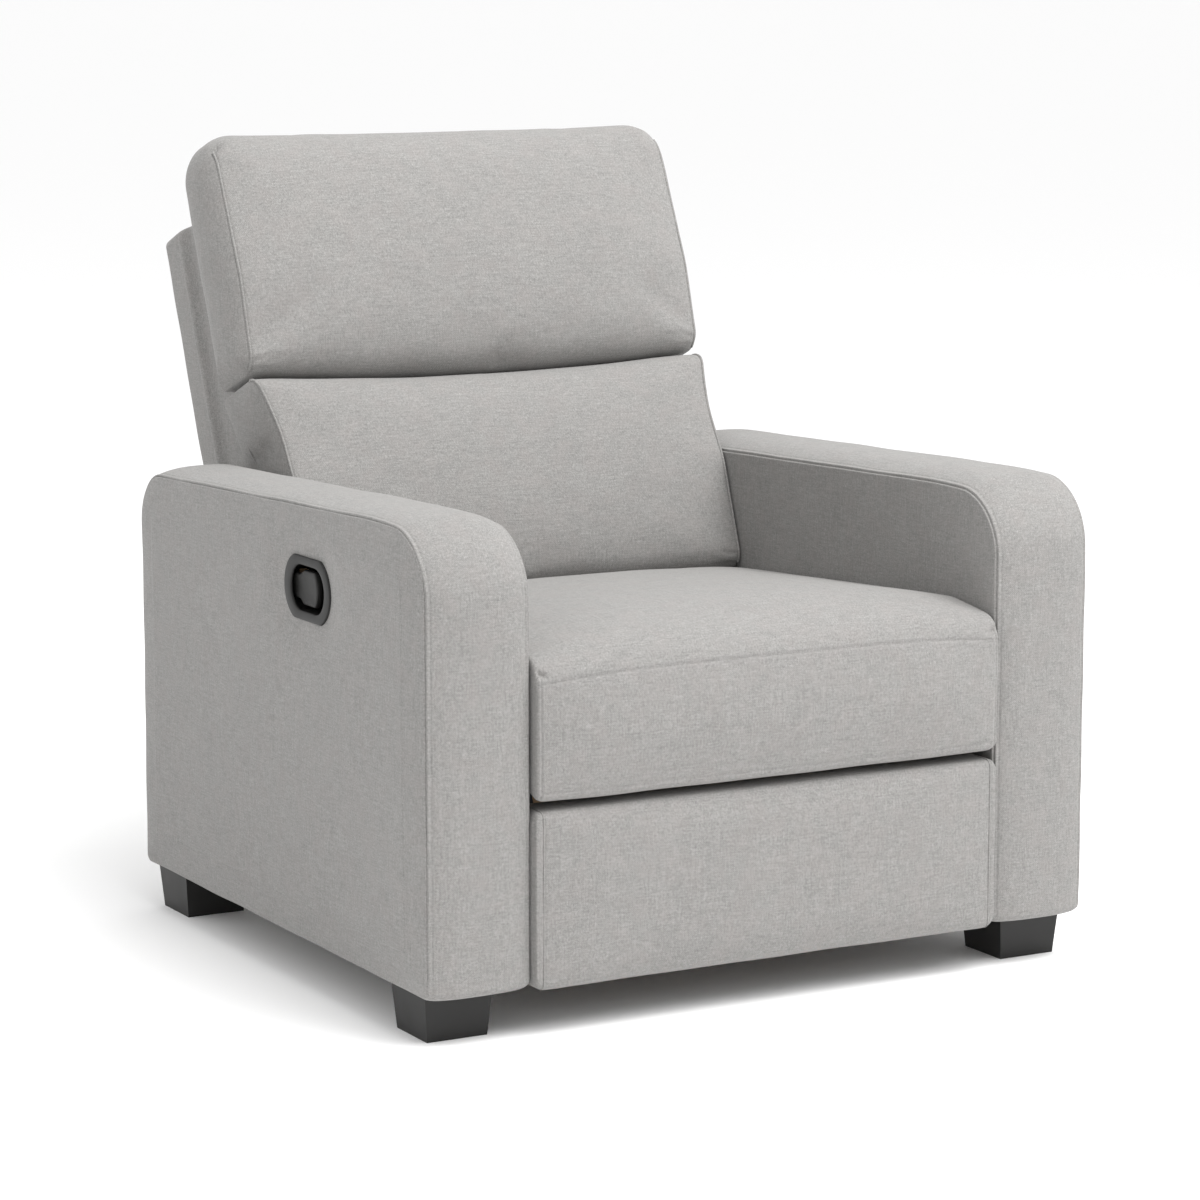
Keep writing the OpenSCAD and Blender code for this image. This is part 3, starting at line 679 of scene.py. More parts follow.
def finish_piece(obj, body, slot, *replaced):
    if replaced:
        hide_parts(*replaced)
    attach(obj, body)


# ---------------------------------------------------------------- arms

ARM = dict(arc=12, lines=(40, 54, 40, 54))
SEAM_INSET = 2 * MM                        # how far the side seams lie inside the arm's outline
CROWN = 8 * MM                             # how far the band's middle stands above its seams' outline
FOOT_TUCK = 3 * MM                         # how far the seams draw in under the arm
HANDLE_LO, HANDLE_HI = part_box("handle_cup")
HANDLE_Y, HANDLE_Z = (HANDLE_LO.y + HANDLE_HI.y) / 2, (HANDLE_LO.z + HANDLE_HI.z) / 2


def arm_corners(inset, foot_inset):
    """Corners of the arm's side outline, drawn in by inset at front, top and rear and by foot_inset below."""
    foot = ARM_FOOT - 0.7 * MM + foot_inset
    return [(FRONT + inset, foot, 10 * MM), (FRONT + inset, ARM_FRONT_TOP - inset, 76 * MM - inset),
            (REAR - inset, ARM_REAR_TOP - inset, 66 * MM - inset), (REAR - inset, foot, 10 * MM)]


def ring_breaks(arc, lines, corners=None):
    """Break indexes in the middle of four of an outline's corner arcs."""
    starts = np.concatenate([[0], np.cumsum([arc + n for n in lines])])
    return tuple(int(starts[k]) + arc // 2 for k in (corners or range(4)))


def arm(side):
    """An arm's cover: a crowned band round it, an outer and an inner panel, and piped seams between them."""
    word = "left" if side < 0 else "right"
    middle, half = (OUTER + INNER) / 2, (OUTER - INNER) / 2 - 1 * MM
    rows = []
    for x in spread(half, 7 * MM, edge=(0, 2, 4.5, 7.5, 11, 15)):
        t = abs(x) / half
        inset = SEAM_INSET - (SEAM_INSET + CROWN) * (1 - t ** 2.8)
        rows.append((x, outline(arm_corners(inset, FOOT_TUCK * t ** 12), **ARM)))

    def swell(d):
        return 6 * MM * (1 - math.exp(-d / (26 * MM)))

    verts, faces, band = block(rows, ring_breaks(**ARM), swell, [k * MM for k in (2, 4.5, 8, 14, 22, 33, 46)],
                               lambda d: inset_outline(arm_corners(SEAM_INSET, FOOT_TUCK), d, **ARM),
                               lambda x, ring: upright(side * (middle + x), ring))
    inner_face = np.abs(verts[:, 0]) < INNER + 1 * MM
    verts[inner_face, 0] = side * (INNER - 0.5 * MM)
    towards_front = ramp(verts[:, 1], FRONT + 170 * MM, FRONT)
    towards_top = ramp(verts[:, 2], ARM_FRONT_TOP - 190 * MM, ARM_FRONT_TOP)
    inner_part = ramp(np.abs(verts[:, 0]), middle, middle - half)
    verts[:, 2] -= (11 * MM * towards_front ** 2 + 7 * MM * inner_part ** 3) * towards_top
    if side < 0:
        outer_face = verts[:, 0] < -OUTER + 1 * MM
        far = np.hypot((verts[:, 1] - HANDLE_Y) / 1.25, verts[:, 2] - HANDLE_Z)
        pull = ease(ramp(far, 95 * MM, 50 * MM))
        verts[:, 0] += np.where(outer_face, pull * (-(OUTER - 1.2 * MM) - verts[:, 0]), 0)
    obj = make_object("arm_cover_" + word, verts, faces, FABRIC)
    count = len(rows[0][1])
    seams = [points_of(obj.data)[start:start + count] for start in (band[0], band[-1])]
    subdivide(obj)
    ripple(obj, 0.7 * MM, 190 * MM, seed=side)
    for seam in seams:
        line = dense(seam, 1.2 * MM, closed=True)

        def change(co, normals, line=line):
            d = near(co, line, 16 * MM)
            on_band = ramp(half - np.abs(np.abs(co[:, 0]) - middle), 0, 1.2 * MM)
            fade = ramp(co[:, 2], ARM_FOOT, ARM_FOOT + 30 * MM)
            ridge = 0.8 * np.exp(-((d - 2.6 * MM) / (1.5 * MM)) ** 2) * on_band
            stitch = 0.5 * np.exp(-((d - 6.2 * MM) / (1.1 * MM)) ** 2) * on_band
            crack = 2.3 * np.exp(-(d / (1.2 * MM)) ** 2)
            return normals * ((ridge - stitch - crack) * fade * MM)[:, None]

        shift_points(obj, change)
    return obj


def bezel_inside(margin):
    """The bezel's outline, in y and z from the handle's middle, grown by margin."""
    half_l = (HANDLE_HI.y - HANDLE_LO.y) / 2 - 2.5 * MM
    half_h = (HANDLE_HI.z - HANDLE_LO.z) / 2
    end_r = half_h + 2.5 * MM

    def inside(y, z):
        beyond = abs(y + 2 * MM) - half_l + end_r
        return abs(z) < half_h + margin and (beyond < 0 or math.hypot(beyond, z) < end_r + margin)

    return inside


def slot_inside(y_mid, run, radius):
    """A round-ended slot whose ends lie run away from y_mid."""
    return lambda y, z: math.hypot(max(abs(y - y_mid) - run, 0), max(abs(z) - 0.5 * MM, 0)) < radius


def opening_inside(margin):
    return slot_inside(-3 * MM, 19 * MM, 27 * MM + margin)


def contour(inside, count=96):
    """Outline of a star-shaped region round its middle, by bisection."""
    points = []
    for k in range(count):
        a = 2 * math.pi * k / count
        lo, hi = 0.0, 0.2
        for _ in range(24):
            mid = (lo + hi) / 2
            lo, hi = (mid, hi) if inside(mid * math.cos(a), mid * math.sin(a)) else (lo, mid)
        points.append((lo * math.cos(a), lo * math.sin(a)))
    return np.array(points)


def layered(name, layers, material, close_first=False):
    """Joins rings of points, (x, ring round the handle's middle), into one skin, closed at the last ring."""
    verts, faces = [], []
    n = len(layers[0][1])
    for x, ring in layers:
        verts.extend((x, HANDLE_Y + p[0], HANDLE_Z + p[1]) for p in ring)
    for r in range(len(layers) - 1):
        faces += ring_quads(r * n, (r + 1) * n, n)
    faces.append(tuple(range((len(layers) - 1) * n, len(layers) * n)))
    if close_first:
        faces.append(tuple(range(n))[::-1])
    return make_object(name, verts, faces, material)


def sharp_shading(obj, angle=35):
    """Shades edges sharper than an angle in degrees as creases."""
    obj.data.set_sharp_from_angle(angle=math.radians(angle))


def handle():
    """The bezel with its cup, and the paddle in it; returns the outline of the cup behind the bezel.

    The skins are listed in mm: depth behind the front, and growth of the outline there.
    """
    face = -(OUTER + 2.2 * MM)
    black = MATERIALS["black_plastic"]
    hollow = contour(slot_inside(4.5 * MM, 24.5 * MM, 29 * MM))
    skin = [(face + depth * MM, contour(bezel_inside(grow * MM)))
            for depth, grow in ((5, -3), (5, 0), (1.2, 0), (0.4, -0.5), (0, -1.6))]
    skin += [(face + depth * MM, contour(opening_inside(grow * MM)))
             for depth, grow in ((0.2, 3), (0.6, 1), (1.8, 0), (3.2, 0))]
    skin += [(face + depth * MM, hollow * size)
             for depth, size in ((3.4, 1), (26, 0.985), (33, 0.95), (36, 0.86), (37, 0.6))]
    cup = layered("handle_bezel", skin, black)
    sharp_shading(cup)
    finish_piece(cup, "base", "black_plastic", "handle_cup")
    paddle_rear, paddle_front, paddle_half, tail_half = 52 * MM, -17 * MM, 21 * MM, 15 * MM

    def paddle_inside(margin):
        def inside(y, z):
            y, z = y + 9 * MM, z + 1 * MM    # the contour runs round the paddle's own middle
            r = paddle_half + margin
            width = np.interp(y, (21 * MM, 30 * MM), (r, tail_half + margin))
            rear_end = y < paddle_rear + margin and abs(z) < width
            front_end = y > paddle_front - margin + 7 * MM * (z / paddle_half) ** 2
            notch = y > 19 * MM - margin and z > 16 * MM - margin
            return rear_end and front_end and not (notch and y < 27 * MM + margin)
        return inside

    def ring(margin):
        return contour(paddle_inside(margin)) + np.array([9 * MM, 0])

    front = -(OUTER - 5 * MM)
    edges = ((9, -5), (8, -1.5), (6, 0), (1.6, 0), (0.5, -0.7), (0, -2.2), (0.9, -8), (1.4, -13))
    skin = [(front + depth * MM, ring(grow * MM)) for depth, grow in edges]
    flap = layered("pull_paddle", skin, black, close_first=True)
    sharp_shading(flap, 50)
    finish_piece(flap, "handle", "black_plastic", "pull_handle")
    return hollow


def pocket(obj, outline_yz):
    """Cuts the handle's pocket out of the arm's cover."""
    n = len(outline_yz)
    verts = [(x, HANDLE_Y + p[0] * 1.04, HANDLE_Z + p[1] * 1.06)
             for x in (-(OUTER + 30 * MM), -(OUTER - 39 * MM)) for p in outline_yz]
    faces = ring_quads(0, n, n)
    faces += [tuple(range(n)), tuple(range(n, 2 * n))[::-1]]
    cutter = make_object("cutter", verts, faces, FABRIC)
    mod = obj.modifiers.new("pocket", "BOOLEAN")
    mod.operation, mod.object, mod.solver = "DIFFERENCE", cutter, "EXACT"
    apply_modifiers(obj)
    bpy.data.objects.remove(cutter)


for arm_side, arm_word in ((-1, "left"), (1, "right")):
    cover = arm(arm_side)
    if arm_side < 0:
        pocket(cover, handle())
    finish_piece(cover, "base", "fabric", "arm_band_" + arm_word, "arm_outer_panel_" + arm_word,
                 "arm_inner_panel_" + arm_word)

# ---------------------------------------------------------------- back and head cushions

CREASE = 352 * MM                          # where the lumbar and the head cushion meet, up the back
SAG = 9 * MM                               # how far the crease sags in the middle
PIPING = 1.7 * MM                          # radius of the cord in the cushions' seams
BACK_SHAPE = dict(arc=10, lines=(26, 8, 8, 8, 8))


def blend_rings(a, b, t):
    """Between outlines a and b of the same length."""
    return a * (1 - t) + b * t


def shoulder(x, half, reach=35 * MM, radius=50 * MM):
    """0 across the middle of a band, rising to 1 at its seams along an arc."""
    def fall(d):
        return 1 - math.sqrt(1 - (d / radius) ** 2)

    return fall(max(0.0, abs(x) - half + reach)) / fall(reach)


def sag(co, half):
    """How far the crease has sagged at each point's place across the back."""
    return SAG * np.clip(1 - (co[:, 0] / half) ** 2, 0, 1)


def back_cushion(name, mid_corners, end_corners, half, swell, insets, cap, limit, flare=None):
    """A sewn cushion on the back: a band between two gussets, blown up between its seams.

    limit(co): holds the blown-up points within their room; flare(u): how wide the cushion is up the back.
    """
    mid, end = outline(mid_corners, **BACK_SHAPE), outline(end_corners, **BACK_SHAPE)
    rows = [(x, blend_rings(mid, end, shoulder(x, half))) for x in spread(half, 9 * MM)]
    breaks = ring_breaks(**BACK_SHAPE, corners=(0, 1, 2, 4))
    verts, faces, band = block(rows, breaks, swell, [k * MM for k in insets],
                               lambda d: inset_outline(end_corners, d, **BACK_SHAPE), on_back)
    u = back_coords(verts)[1]
    drop = sag(verts, half) * np.exp(-((u - CREASE) / (75 * MM)) ** 2)
    verts[:, 1] -= drop * math.sin(LEAN)
    verts[:, 2] -= drop * math.cos(LEAN)
    if flare:
        verts[:, 0] *= flare(u)
    obj = make_object(name, verts, faces, FABRIC)
    count = len(mid)
    # the seams hold, and so does the rear, which lies on the frame
    held = {start + k for start in (band[0], band[-1]) for k in range(count)}
    held |= {start + k for start in band for k in range(count) if mid[k, 0] < 3 * MM}
    inflate(obj, sorted(held), cap)
    co = points_of(obj.data)
    limit(co)
    set_points(obj.data, co)
    seams = [co[start:start + count] for start in (band[0], band[-1])]
    return obj, seams


def clamp_crease(co, half, above):
    """Keeps a back cushion on its own side of the crease."""
    u = back_coords(co)[1]
    edge = CREASE - sag(co, half) + (0.8 * MM if above else -0.8 * MM)
    over = np.maximum(edge - u, 0) if above else np.minimum(edge - u, 0)
    co[:, 1] += over * math.sin(LEAN)
    co[:, 2] += over * math.cos(LEAN)


def pipe_seams(obj, seams, radius, name, keep):
    """Sinks a groove along the part of each seam where keep(seam) is true and lays its piping in it."""
    pipes = []
    for k, seam in enumerate(seams):
        seam = seam_part(seam, keep(seam))
        groove(obj, dense(seam), radius * 0.8, radius * 1.8)
        line = dense(seam, 3 * MM)
        normals = surface_normals(obj, line)
        pipes.append(tube(f"{name}_{k}", line - normals * radius * 0.55, radius, FABRIC, normals=normals))
    return pipes


def head_cushion():
    lo, hi = CREASE + 4 * MM, 668 * MM

    def corners(front, top, corner):
        return [(-2 * MM, lo, 8 * MM), (-2 * MM, top, 44 * MM), (front - 12 * MM, top, corner),
                (front, lo + 120 * MM, 140 * MM), (front - 12 * MM, lo, 28 * MM)]

    half = INNER + 10 * MM

    def limit(co):
        clamp_crease(co, half, above=True)

    obj, seams = back_cushion("head_cushion_cover", corners(121 * MM, hi + 15 * MM, 50 * MM),
                              corners(113 * MM, hi + 1 * MM, 46 * MM), half,
                              swell=lambda d: 16 * MM * (1 - (1 - min(d / (44 * MM), 1)) ** 2.4),
                              insets=(3, 7, 13, 21, 30, 40), cap=14 * MM, limit=limit)
    subdivide(obj)
    ripple(obj, 0.8 * MM, 170 * MM, seed=0.4)

    def in_front(seam):
        v, u = back_coords(seam)
        return (v > 70 * MM) & (u < hi - 12 * MM) & (u > lo + 2 * MM)

    pipes = pipe_seams(obj, seams, PIPING, "head_piping", keep=in_front)
    pinches = (                            # in mm: place from the corner, run, depth, half length, half width
        ((-9, 1, 4), (-1, 0.25, 0.4), 5.0, 11, 3.5),
        ((5, 6, 5), (0.5, 1, 0.2), 3.0, 10, 3.5),
        ((-12, 3, 13), (-1, 0.35, 0.35), -2.5, 13, 5))
    for seam, side in ((seams[0], -1), (seams[1], 1)):
        front_run = seam[in_front(seam)]
        tip = front_run[np.argmax(front_run[:, 2])]
        strength = 1.0 if side < 0 else 0.5
        for shift, along, depth, long_r, short_r in pinches:
            mirror = np.array([side, 1, 1])
            dimple(obj, tip + mirror * shift * MM, mirror * along, depth * MM * strength,
                   long_r * MM, short_r * MM)
    join_to(obj, *pipes)
    finish_piece(obj, "back", "fabric", "head_cushion", "head_foam")


def lumbar_cushion():
    lo, hi = 45 * MM, CREASE - 4 * MM

    def corners(inset):
        return [(-4 * MM, lo, 12 * MM), (-4 * MM, hi, 9 * MM), (114 * MM - inset, hi, 26 * MM),
                (143 * MM - inset, 190 * MM, 140 * MM), (136 * MM - inset, lo, 24 * MM)]

    half = INNER - 4 * MM

    def limit(co):
        clamp_crease(co, half, above=False)
        u = back_coords(co)[1]
        room = np.where(u < 262 * MM, INNER - 2 * MM, half * 1.08)
        co[:, 0] = np.clip(co[:, 0], -room, room)

    obj, seams = back_cushion("lumbar_cushion_cover", corners(0), corners(6 * MM), half,
                              swell=lambda d: 6 * MM * (1 - (1 - min(d / (40 * MM), 1)) ** 2),
                              insets=(4, 9, 16, 26, 38), cap=13 * MM, limit=limit,
                              flare=lambda u: 1 + 0.045 * ramp(u, 255 * MM, 340 * MM) ** 1.4)
    subdivide(obj)
    ripple(obj, 0.8 * MM, 180 * MM, seed=1.9)

    def in_front(seam):
        v, u = back_coords(seam)
        return (v > 78 * MM) & (u > lo + 4 * MM)

    join_to(obj, *pipe_seams(obj, seams, PIPING, "lumbar_piping", keep=in_front))
    finish_piece(obj, "back", "fabric", "lumbar_cushion", "lumbar_foam")


head_cushion()
lumbar_cushion()


CHANNEL = 6 * MM                           # how far the back cover steps in beside the lumbar cushion
DEEPER = 3 * MM                            # and how much further beside the head cushion
FULLER = 24 * MM                           # how far the padding swells the outside back to the rear


def back_cover():
    """The outside back: a rear panel and a border round it, open at its foot and front."""
    half, top, rear, front = INNER - 3.5 * MM, 600 * MM, -105 * MM, -8 * MM
    verts, faces = round_box((-half, rear, -10 * MM), (half, front, top), 6 * MM, 9 * MM, ("+y", "-z"))
    obj = make_object("back_cover_shell", verts, faces, FABRIC)
    merge_close(obj)

    def foot_inset(u):
        return 6.5 * MM * (1 - ramp(u, 130 * MM, 240 * MM))

    def fuller(u):
        return ramp(u, 30 * MM, 240 * MM)

    def skirt(face):
        c = face.calc_center_median()
        return c.z < 34 * MM and c.y > rear + 15 * MM

    drop_faces(obj, skirt)
    co = points_of(obj.data)
    across = 1 - np.clip(np.abs(co[:, 0]) / half, 0, 1) ** 4
    bulge = across * (1 - np.clip(np.abs(co[:, 2] / (305 * MM) - 0.97), 0, 1) ** 4)
    co[:, 1] -= np.where(co[:, 1] < rear + 8 * MM, 4 * MM * bulge, 0)
    rearward = np.clip((front - co[:, 1]) / (front - rear), 0, 1.2)
    channel = ramp(co[:, 1], -62 * MM, -55 * MM) * (np.abs(co[:, 0]) > half - 7 * MM)
    co[:, 1] -= FULLER * ease(fuller(co[:, 2])) * rearward
    co[:, 0] -= np.sign(co[:, 0]) * (CHANNEL + DEEPER * fuller(co[:, 2])) * channel
    side_limit = half - foot_inset(co[:, 2])
    co[:, 0] = np.clip(co[:, 0], -side_limit, side_limit)
    set_points(obj.data, on_back(co[:, 0], co[:, 1:]))
    subdivide(obj)
    ripple(obj, 1.0 * MM, 210 * MM, seed=2.6)
    mid_v = -76 * MM
    us = np.linspace(36 * MM, top - 10 * MM, 60)
    pipes = []
    for side in (-1, 1):
        inset = 0.4 * MM + foot_inset(us)
        border = on_back(side * (half - inset), np.stack([np.full(60, mid_v), us], 1))
        groove(obj, dense(border), 2.6 * MM, 3.4 * MM)
        pipes.append(tube("back_border", dense(border, 3 * MM) - (side * 0.9 * MM, 0, 0), 1.6 * MM, FABRIC))
    edge = 10 * MM
    corner = 30 * MM
    heights = [-6 * MM, *np.linspace(20 * MM, top - corner, 30)]
    path = [(-half + edge, u) for u in heights]
    path += [(x, top - edge) for x in np.linspace(-half + corner, half - corner, 30)]
    path += [(half - edge, u) for u in reversed(heights)]
    path = np.array(path)
    back_v = rear + 1 * MM - FULLER * ease(fuller(path[:, 1]))
    seam = dense(on_back(path[:, 0], np.stack([back_v, path[:, 1]], 1)), 3 * MM)
    groove(obj, dense(seam), 1.2 * MM, 3 * MM)
    piping = tube("back_piping", seam, 2.2 * MM, FABRIC, normals=surface_normals(obj, seam))
    solid = obj.modifiers.new("thickness", "SOLIDIFY")
    solid.thickness, solid.offset = 4 * MM, -1
    apply_modifiers(obj)
    join_to(obj, piping, *pipes)
    finish_piece(obj, "back", "fabric", "back_cover")


back_cover()


def rear_panel():
    """The padded panel between the arms, below the back."""
    lo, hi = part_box("rear_panel")
    verts, faces = round_box((lo.x, lo.y, lo.z), (hi.x, hi.y, hi.z), 5 * MM, 14 * MM)
    obj = make_object("rear_panel_cover", verts, faces, FABRIC)
    merge_close(obj)
    co = points_of(obj.data)
    across = 1 - np.clip(np.abs(co[:, 0]) / hi.x, 0, 1) ** 6
    up = 1 - np.clip(np.abs(2 * (co[:, 2] - lo.z) / (hi.z - lo.z) - 1), 0, 1) ** 4
    co[:, 1] += np.where(co[:, 1] > hi.y - 5 * MM, 3.5 * MM * across * up, 0)
    set_points(obj.data, co)
    subdivide(obj)
    ripple(obj, 0.6 * MM, 200 * MM, seed=3.3)
    for z in (lo.z + 16 * MM, hi.z - 16 * MM):
        seam = [(lo.x + 2 * MM, hi.y + 1 * MM, z), (hi.x - 2 * MM, hi.y + 1 * MM, z)]
        groove(obj, dense(seam), 1.0 * MM, 1.8 * MM)
    finish_piece(obj, "base", "fabric", "rear_panel")


rear_panel()

# ---------------------------------------------------------------- seat and footrest


def round_corners(co, half, edge_z, radius, up):
    """Rounds the corners of a front panel, seen from the front, at its lower (up=1) or upper (up=-1) edge."""
    over = np.clip(np.abs(co[:, 0]) - (half - radius), 0, radius)
    rise = radius - np.sqrt(np.maximum(radius ** 2 - over ** 2, 0))
    near_edge = np.clip(1 - up * (co[:, 2] - edge_z) / (2.2 * radius), 0, 1)
    co[:, 2] += up * np.minimum(rise, radius) * near_edge


SEAT_FRONT, SEAT_REAR = low("seat_cushion").y, high("seat_cushion").y
SEAT_FOOT = low("seat_cushion").z
SEAT_LIP = SEAT_FOOT - 10 * MM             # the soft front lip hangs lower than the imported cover
SEAT_UNDER = SEAT_FOOT + 73 * MM           # underside of the cushion behind the lip


def seat_cushion():
    """The seat: one cover over top and front, rounded at its sides, with a seam along its front edge."""
    shape = dict(arc=6, lines=(16, 6, 50, 6, 6, 62, 7, 3))
    f, r, b = SEAT_FRONT, SEAT_REAR, SEAT_FOOT
    lip_rear = f + 34 * MM
    upper_seam, lower_seam = b + 147 * MM, SEAT_LIP + 19 * MM

    def ring(crown, rear_crown, edge, tuck):
        return outline([
            (f + tuck, SEAT_LIP, 11 * MM), (f + tuck, b + edge, 30 * MM), (f + 100 * MM, b + crown, 100 * MM),
            (r - 50 * MM, b + rear_crown, 40 * MM), (r, b + 120 * MM, 10 * MM), (r, SEAT_UNDER, 8 * MM),
            (lip_rear, SEAT_UNDER, 3 * MM), (lip_rear, SEAT_LIP + 18 * MM, 3 * MM)
        ], **shape)

    mid = ring(crown=192 * MM, rear_crown=154 * MM, edge=168 * MM, tuck=0)
    end = ring(crown=174 * MM, rear_crown=143 * MM, edge=161 * MM, tuck=2 * MM)
    half = INNER - 2.5 * MM
    edge_r = 5 * MM
    flat = half - edge_r
    side_rows = 5
    rows = []
    for k in range(side_rows):
        a = math.pi / 2 * (side_rows - 1 - k) / (side_rows - 1)
        rows.append((-(flat + edge_r * math.sin(a)), end + inward(end) * edge_r * (1 - math.cos(a))))
    rows += [(x, blend_rings(mid, end, (abs(x) / flat) ** 4)) for x in spread(flat, 9 * MM, edge=(3, 6, 11))]
    rows += [(-x, ring_points) for x, ring_points in reversed(rows[:side_rows])]
    verts, faces, starts = [], [], []
    n = len(mid)
    for x, ring_points in rows:
        starts.append(len(verts))
        verts.extend(upright(np.full(n, x), ring_points))
    for first, second in zip(starts, starts[1:]):
        faces += ring_quads(first, second, n)
    for start, sign in ((0, 1), (starts[-1], -1)):
        verts.append(np.mean(verts[start:start + n], axis=0))
        faces.extend((start + k, start + (k + 1) % n, len(verts) - 1)[::sign] for k in range(n))
    verts = np.array([list(v) for v in verts])
    front_part = verts[:, 1] < f + 60 * MM
    lip = verts[front_part]
    round_corners(lip, half, SEAT_LIP, 13 * MM, 1)
    verts[front_part] = lip
    obj = make_object("seat_cushion_cover", verts, faces, FABRIC)
    on_front = mid[:, 0] < f + 40 * MM
    top_seam = int(np.argmin(np.where(on_front, np.abs(mid[:, 1] - upper_seam), 9)))
    low_seam = int(np.argmin(np.where(mid[:, 0] < f + 4 * MM, np.abs(mid[:, 1] - lower_seam), 9)))
    fixed = [k for k in range(n) if mid[k, 1] < SEAT_LIP + 9 * MM or mid[k, 0] > r - 60 * MM
             or (mid[k, 0] > f + 20 * MM and mid[k, 1] < SEAT_UNDER + 3 * MM)]
    held = [len(verts) - 1, len(verts) - 2]
    for row, start in enumerate(starts):
        edge_row = row < side_rows or row >= len(starts) - side_rows
        held.extend(start + k for k in (range(n) if edge_row else fixed + [top_seam, low_seam]))
    inflate(obj, held, 15 * MM)
    co = points_of(obj.data)
    up = ramp(co[:, 2], lower_seam, upper_seam)
    flatness = 1 - np.clip(np.abs(co[:, 0]) / half, 0, 1) ** 8
    co[:, 1] -= np.where(co[:, 1] < f + 15 * MM, 7 * MM * np.sin(math.pi * up) * flatness, 0)
    set_points(obj.data, co)
    top_line = np.array([co[s + top_seam] for s in starts[2:-2]])
    low_line = np.array([co[s + low_seam] for s in starts[3:-3]])
    side_lines = [co[starts[row]:starts[row] + n] for row in (side_rows - 1, len(starts) - side_rows)]
    drop_faces(obj, lambda face: len(face.verts) == 3)
    subdivide(obj)
    close_holes(obj)
    ripple(obj, 0.7 * MM, 180 * MM, seed=5.1)
    groove(obj, dense(top_line), 2.0 * MM, 1.4 * MM)
    groove(obj, dense(low_line[1:-1]), 1.3 * MM, 1.5 * MM)
    for line in side_lines:
        between = (line[:, 2] > SEAT_LIP + 12 * MM) & (line[:, 2] < b + 148 * MM)
        line = line[(line[:, 1] < f + 12 * MM) & between]
        groove(obj, dense(line[np.argsort(line[:, 2])]), 1.2 * MM, 1.5 * MM)
    for side in (-1, 1):
        corner = (side * (flat + 1 * MM), f + 3 * MM, b + 149 * MM)
        dimple(obj, corner, (side * 1, 0, 0.8), 7 * MM, 9 * MM, 4 * MM)
    finish_piece(obj, "seat", "fabric", "seat_cushion")


seat_cushion()


def footrest_pad():
    """The footrest's padded front, wrapped round its board."""
    lo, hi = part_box("footrest_pad")
    top, foot, face = hi.z - 3 * MM, lo.z - 7 * MM, lo.y - 10 * MM
    back = high("footrest_board").y - 1 * MM
    shape = dict(arc=6, lines=(24, 5, 24, 5))

    def corners(proud, corner):
        return [(back, foot - 1 * MM, 3 * MM), (back, top, 3 * MM), (face - proud, top, corner),
                (face - proud, foot - 1 * MM, corner + 1 * MM)]

    end_corners = corners(-3 * MM, 8 * MM)
    mid, end = outline(corners(0, 10 * MM), **shape), outline(end_corners, **shape)
    half = INNER - 2.5 * MM
    rows = [(x, blend_rings(mid, end, (abs(x) / half) ** 10))
            for x in spread(half, 9 * MM, edge=(0, 2, 5, 9, 14))]
    verts, faces, band = block(rows, ring_breaks(**shape), lambda d: 1.0 * MM * (1 - math.exp(-d / (8 * MM))),
                               [k * MM for k in (2, 4, 7)],
                               lambda d: inset_outline(end_corners, d, **shape), upright)
    round_corners(verts, half, foot, 12 * MM, 1)
    round_corners(verts, half, top, 7 * MM, -1)
    obj = make_object("footrest_pad_cover", verts, faces, FABRIC)
    n = len(mid)
    held = {start + k for row, start in enumerate(band) for k in range(n)
            if row in (0, len(band) - 1) or mid[k, 0] > back - 14 * MM}
    inflate(obj, sorted(held), 9 * MM)
    co = points_of(obj.data)
    co[:, 1] = np.minimum(co[:, 1], back)
    co[:, 2] = np.minimum(co[:, 2], top + 1.5 * MM)
    set_points(obj.data, co)
    seams = [co[start:start + n] for start in (band[3], band[-4])]
    subdivide(obj)
    ripple(obj, 0.6 * MM, 180 * MM, seed=4.2)
    pipes = pipe_seams(obj, seams, 1.1 * MM, "footrest_piping", keep=lambda seam: seam[:, 1] < back - 14 * MM)
    join_to(obj, *pipes)
    finish_piece(obj, "footrest", "fabric", "footrest_pad")


footrest_pad()

# ---------------------------------------------------------------- drive springs


def drive_springs():
    """Two coil springs with a hook at each end."""
    lo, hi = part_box("drive_springs")
    z = (lo.z + hi.z) / 2
    wire, coil_r, turns, loop = 1.1 * MM, 5.6 * MM, 30, 9 * MM
    for side, word in ((-1, "left"), (1, "right")):
        x = side * (hi.x - 7 * MM)
        t = np.linspace(0, 1, turns * 14)
        a = 2 * np.pi * turns * t
        y = lo.y + loop + (hi.y - lo.y - 2 * loop) * t
        body = np.stack([x + coil_r * np.cos(a), y, z + coil_r * np.sin(a)], 1)
        a = np.linspace(0, 1.6 * np.pi, 14)
        hook = np.stack([np.full(14, x), lo.y + 4.5 * MM - 4 * MM * np.cos(a), z + 4 * MM * np.sin(a)], 1)
        tail = hook.copy()
        tail[:, 1] = lo.y + hi.y - tail[:, 1]
        line = np.vstack([hook, body, tail[::-1]])
        obj = tube("drive_spring_" + word, line, wire, MATERIALS["spring_steel"], sides=6)
        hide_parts("drive_springs")
        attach(obj, "seat")
        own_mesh(obj)


drive_springs()

# ---------------------------------------------------------------- edges of the bare frame


def soften(names, width):
    for name in names:
        mod = NODES[name].modifiers.new("edges", "BEVEL")
        mod.width, mod.segments, mod.limit_method, mod.angle_limit = width, 3, "ANGLE", math.radians(40)


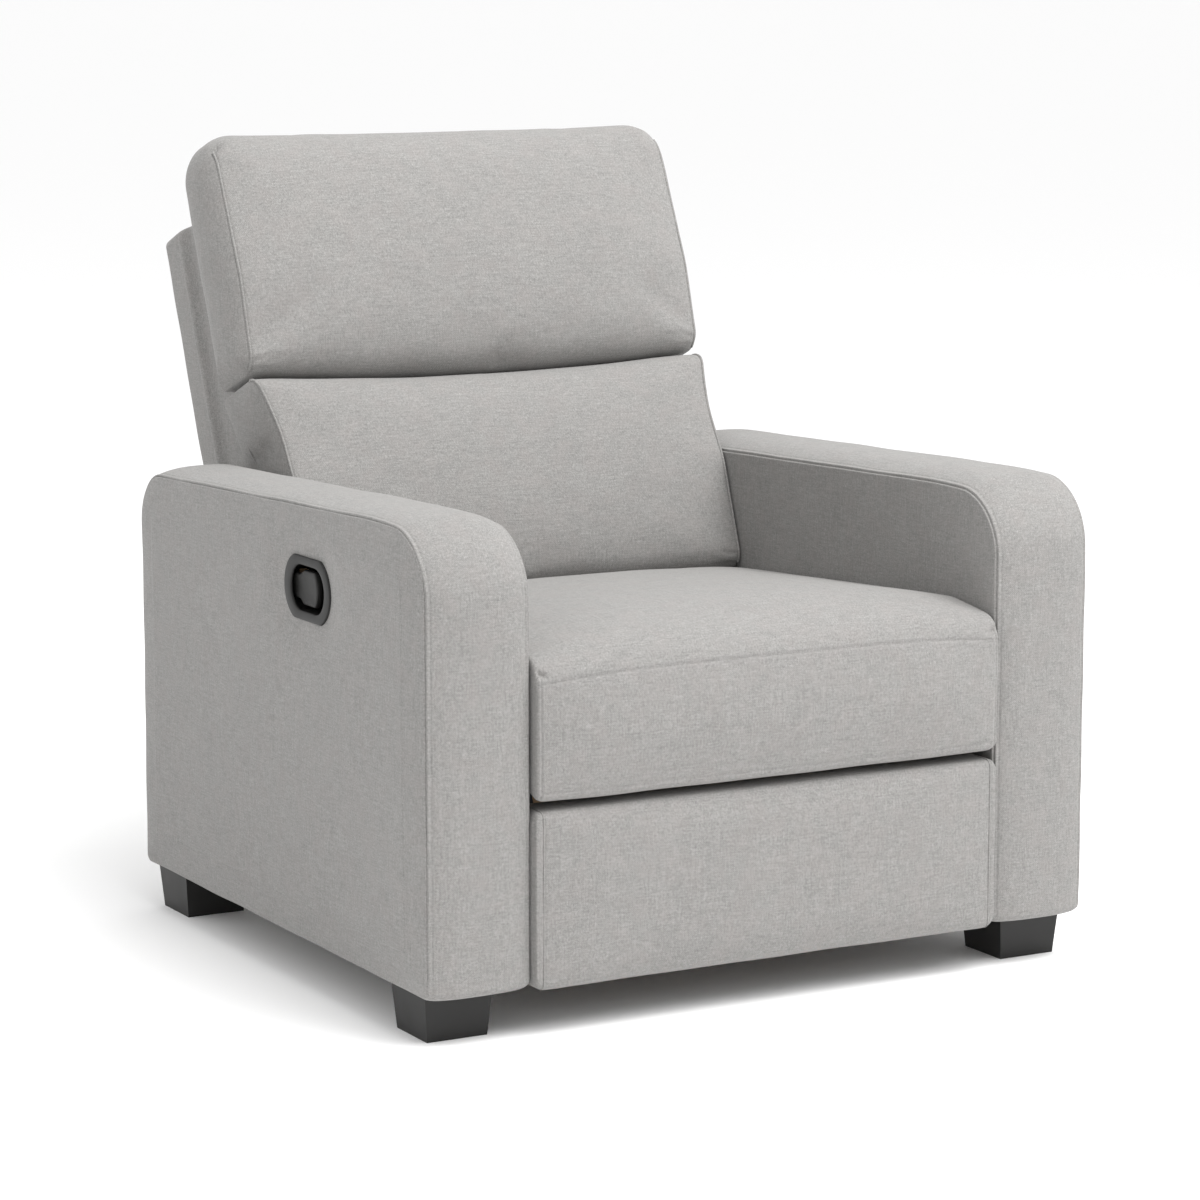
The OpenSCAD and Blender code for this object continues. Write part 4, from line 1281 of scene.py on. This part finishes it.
soften([n for n in NODES if n.startswith("leg_front") or n.startswith("leg_rear")], 2.5 * MM)
soften([n for n in NODES if SLOT_OF[n] == "frame_wood" and "arm_frame" not in n], 1.2 * MM)

# ---------------------------------------------------------------- stage, lights, camera


def stage():
    """A plain pale floor under an even white world."""
    pale = Surface("floor")
    pale.shade(Base_Color=(0.985, 0.985, 0.985), Roughness=0.9)
    bpy.ops.mesh.primitive_plane_add(size=300, location=(0, 0, 0))
    floor = bpy.context.object
    floor.name = "floor"
    floor.data.materials.append(pale.material)
    world = bpy.data.worlds.new("studio")
    bpy.context.scene.world = world
    world.use_nodes = True
    sky = world.node_tree.nodes["Background"]
    sky.inputs["Color"].default_value = (1, 1, 1, 1)
    sky.inputs["Strength"].default_value = 0.985


def area_light(name, place, aim, size, power):
    data = bpy.data.lights.new(name, "AREA")
    data.shape = "RECTANGLE"
    data.size, data.size_y = size
    data.energy = power
    obj = bpy.data.objects.new(name, data)
    bpy.context.collection.objects.link(obj)
    obj.location = place
    obj.rotation_mode = "QUATERNION"
    obj.rotation_quaternion = (Vector(aim) - Vector(place)).to_track_quat("-Z", "Y")


def camera():
    """A long lens, level with the cushions, to the left of the chair's middle."""
    azimuth, elevation, distance = math.radians(-29.02), math.radians(9.32), 4.954
    target = Vector((-0.0444, FRONT + 0.3299, 0.4378))
    back = Vector((math.sin(azimuth) * math.cos(elevation), -math.cos(azimuth) * math.cos(elevation),
                   math.sin(elevation)))
    data = bpy.data.cameras.new("camera")
    data.sensor_width = 36
    data.lens = 120.9
    obj = bpy.data.objects.new("camera", data)
    bpy.context.collection.objects.link(obj)
    obj.location = target + back * distance
    obj.rotation_mode = "QUATERNION"
    obj.rotation_quaternion = (-back).to_track_quat("-Z", "Y")
    data.clip_end = 100
    bpy.context.scene.camera = obj


stage()
area_light("key", (1.3, -2.4, 3.6), (0, 0, 0.4), (2.8, 2.8), 124)
area_light("overhead", (0.3, -1.3, 4.2), (0, 0, 0.4), (2.8, 2.8), 105)
camera()
bpy.context.scene.view_settings.view_transform = "Standard"
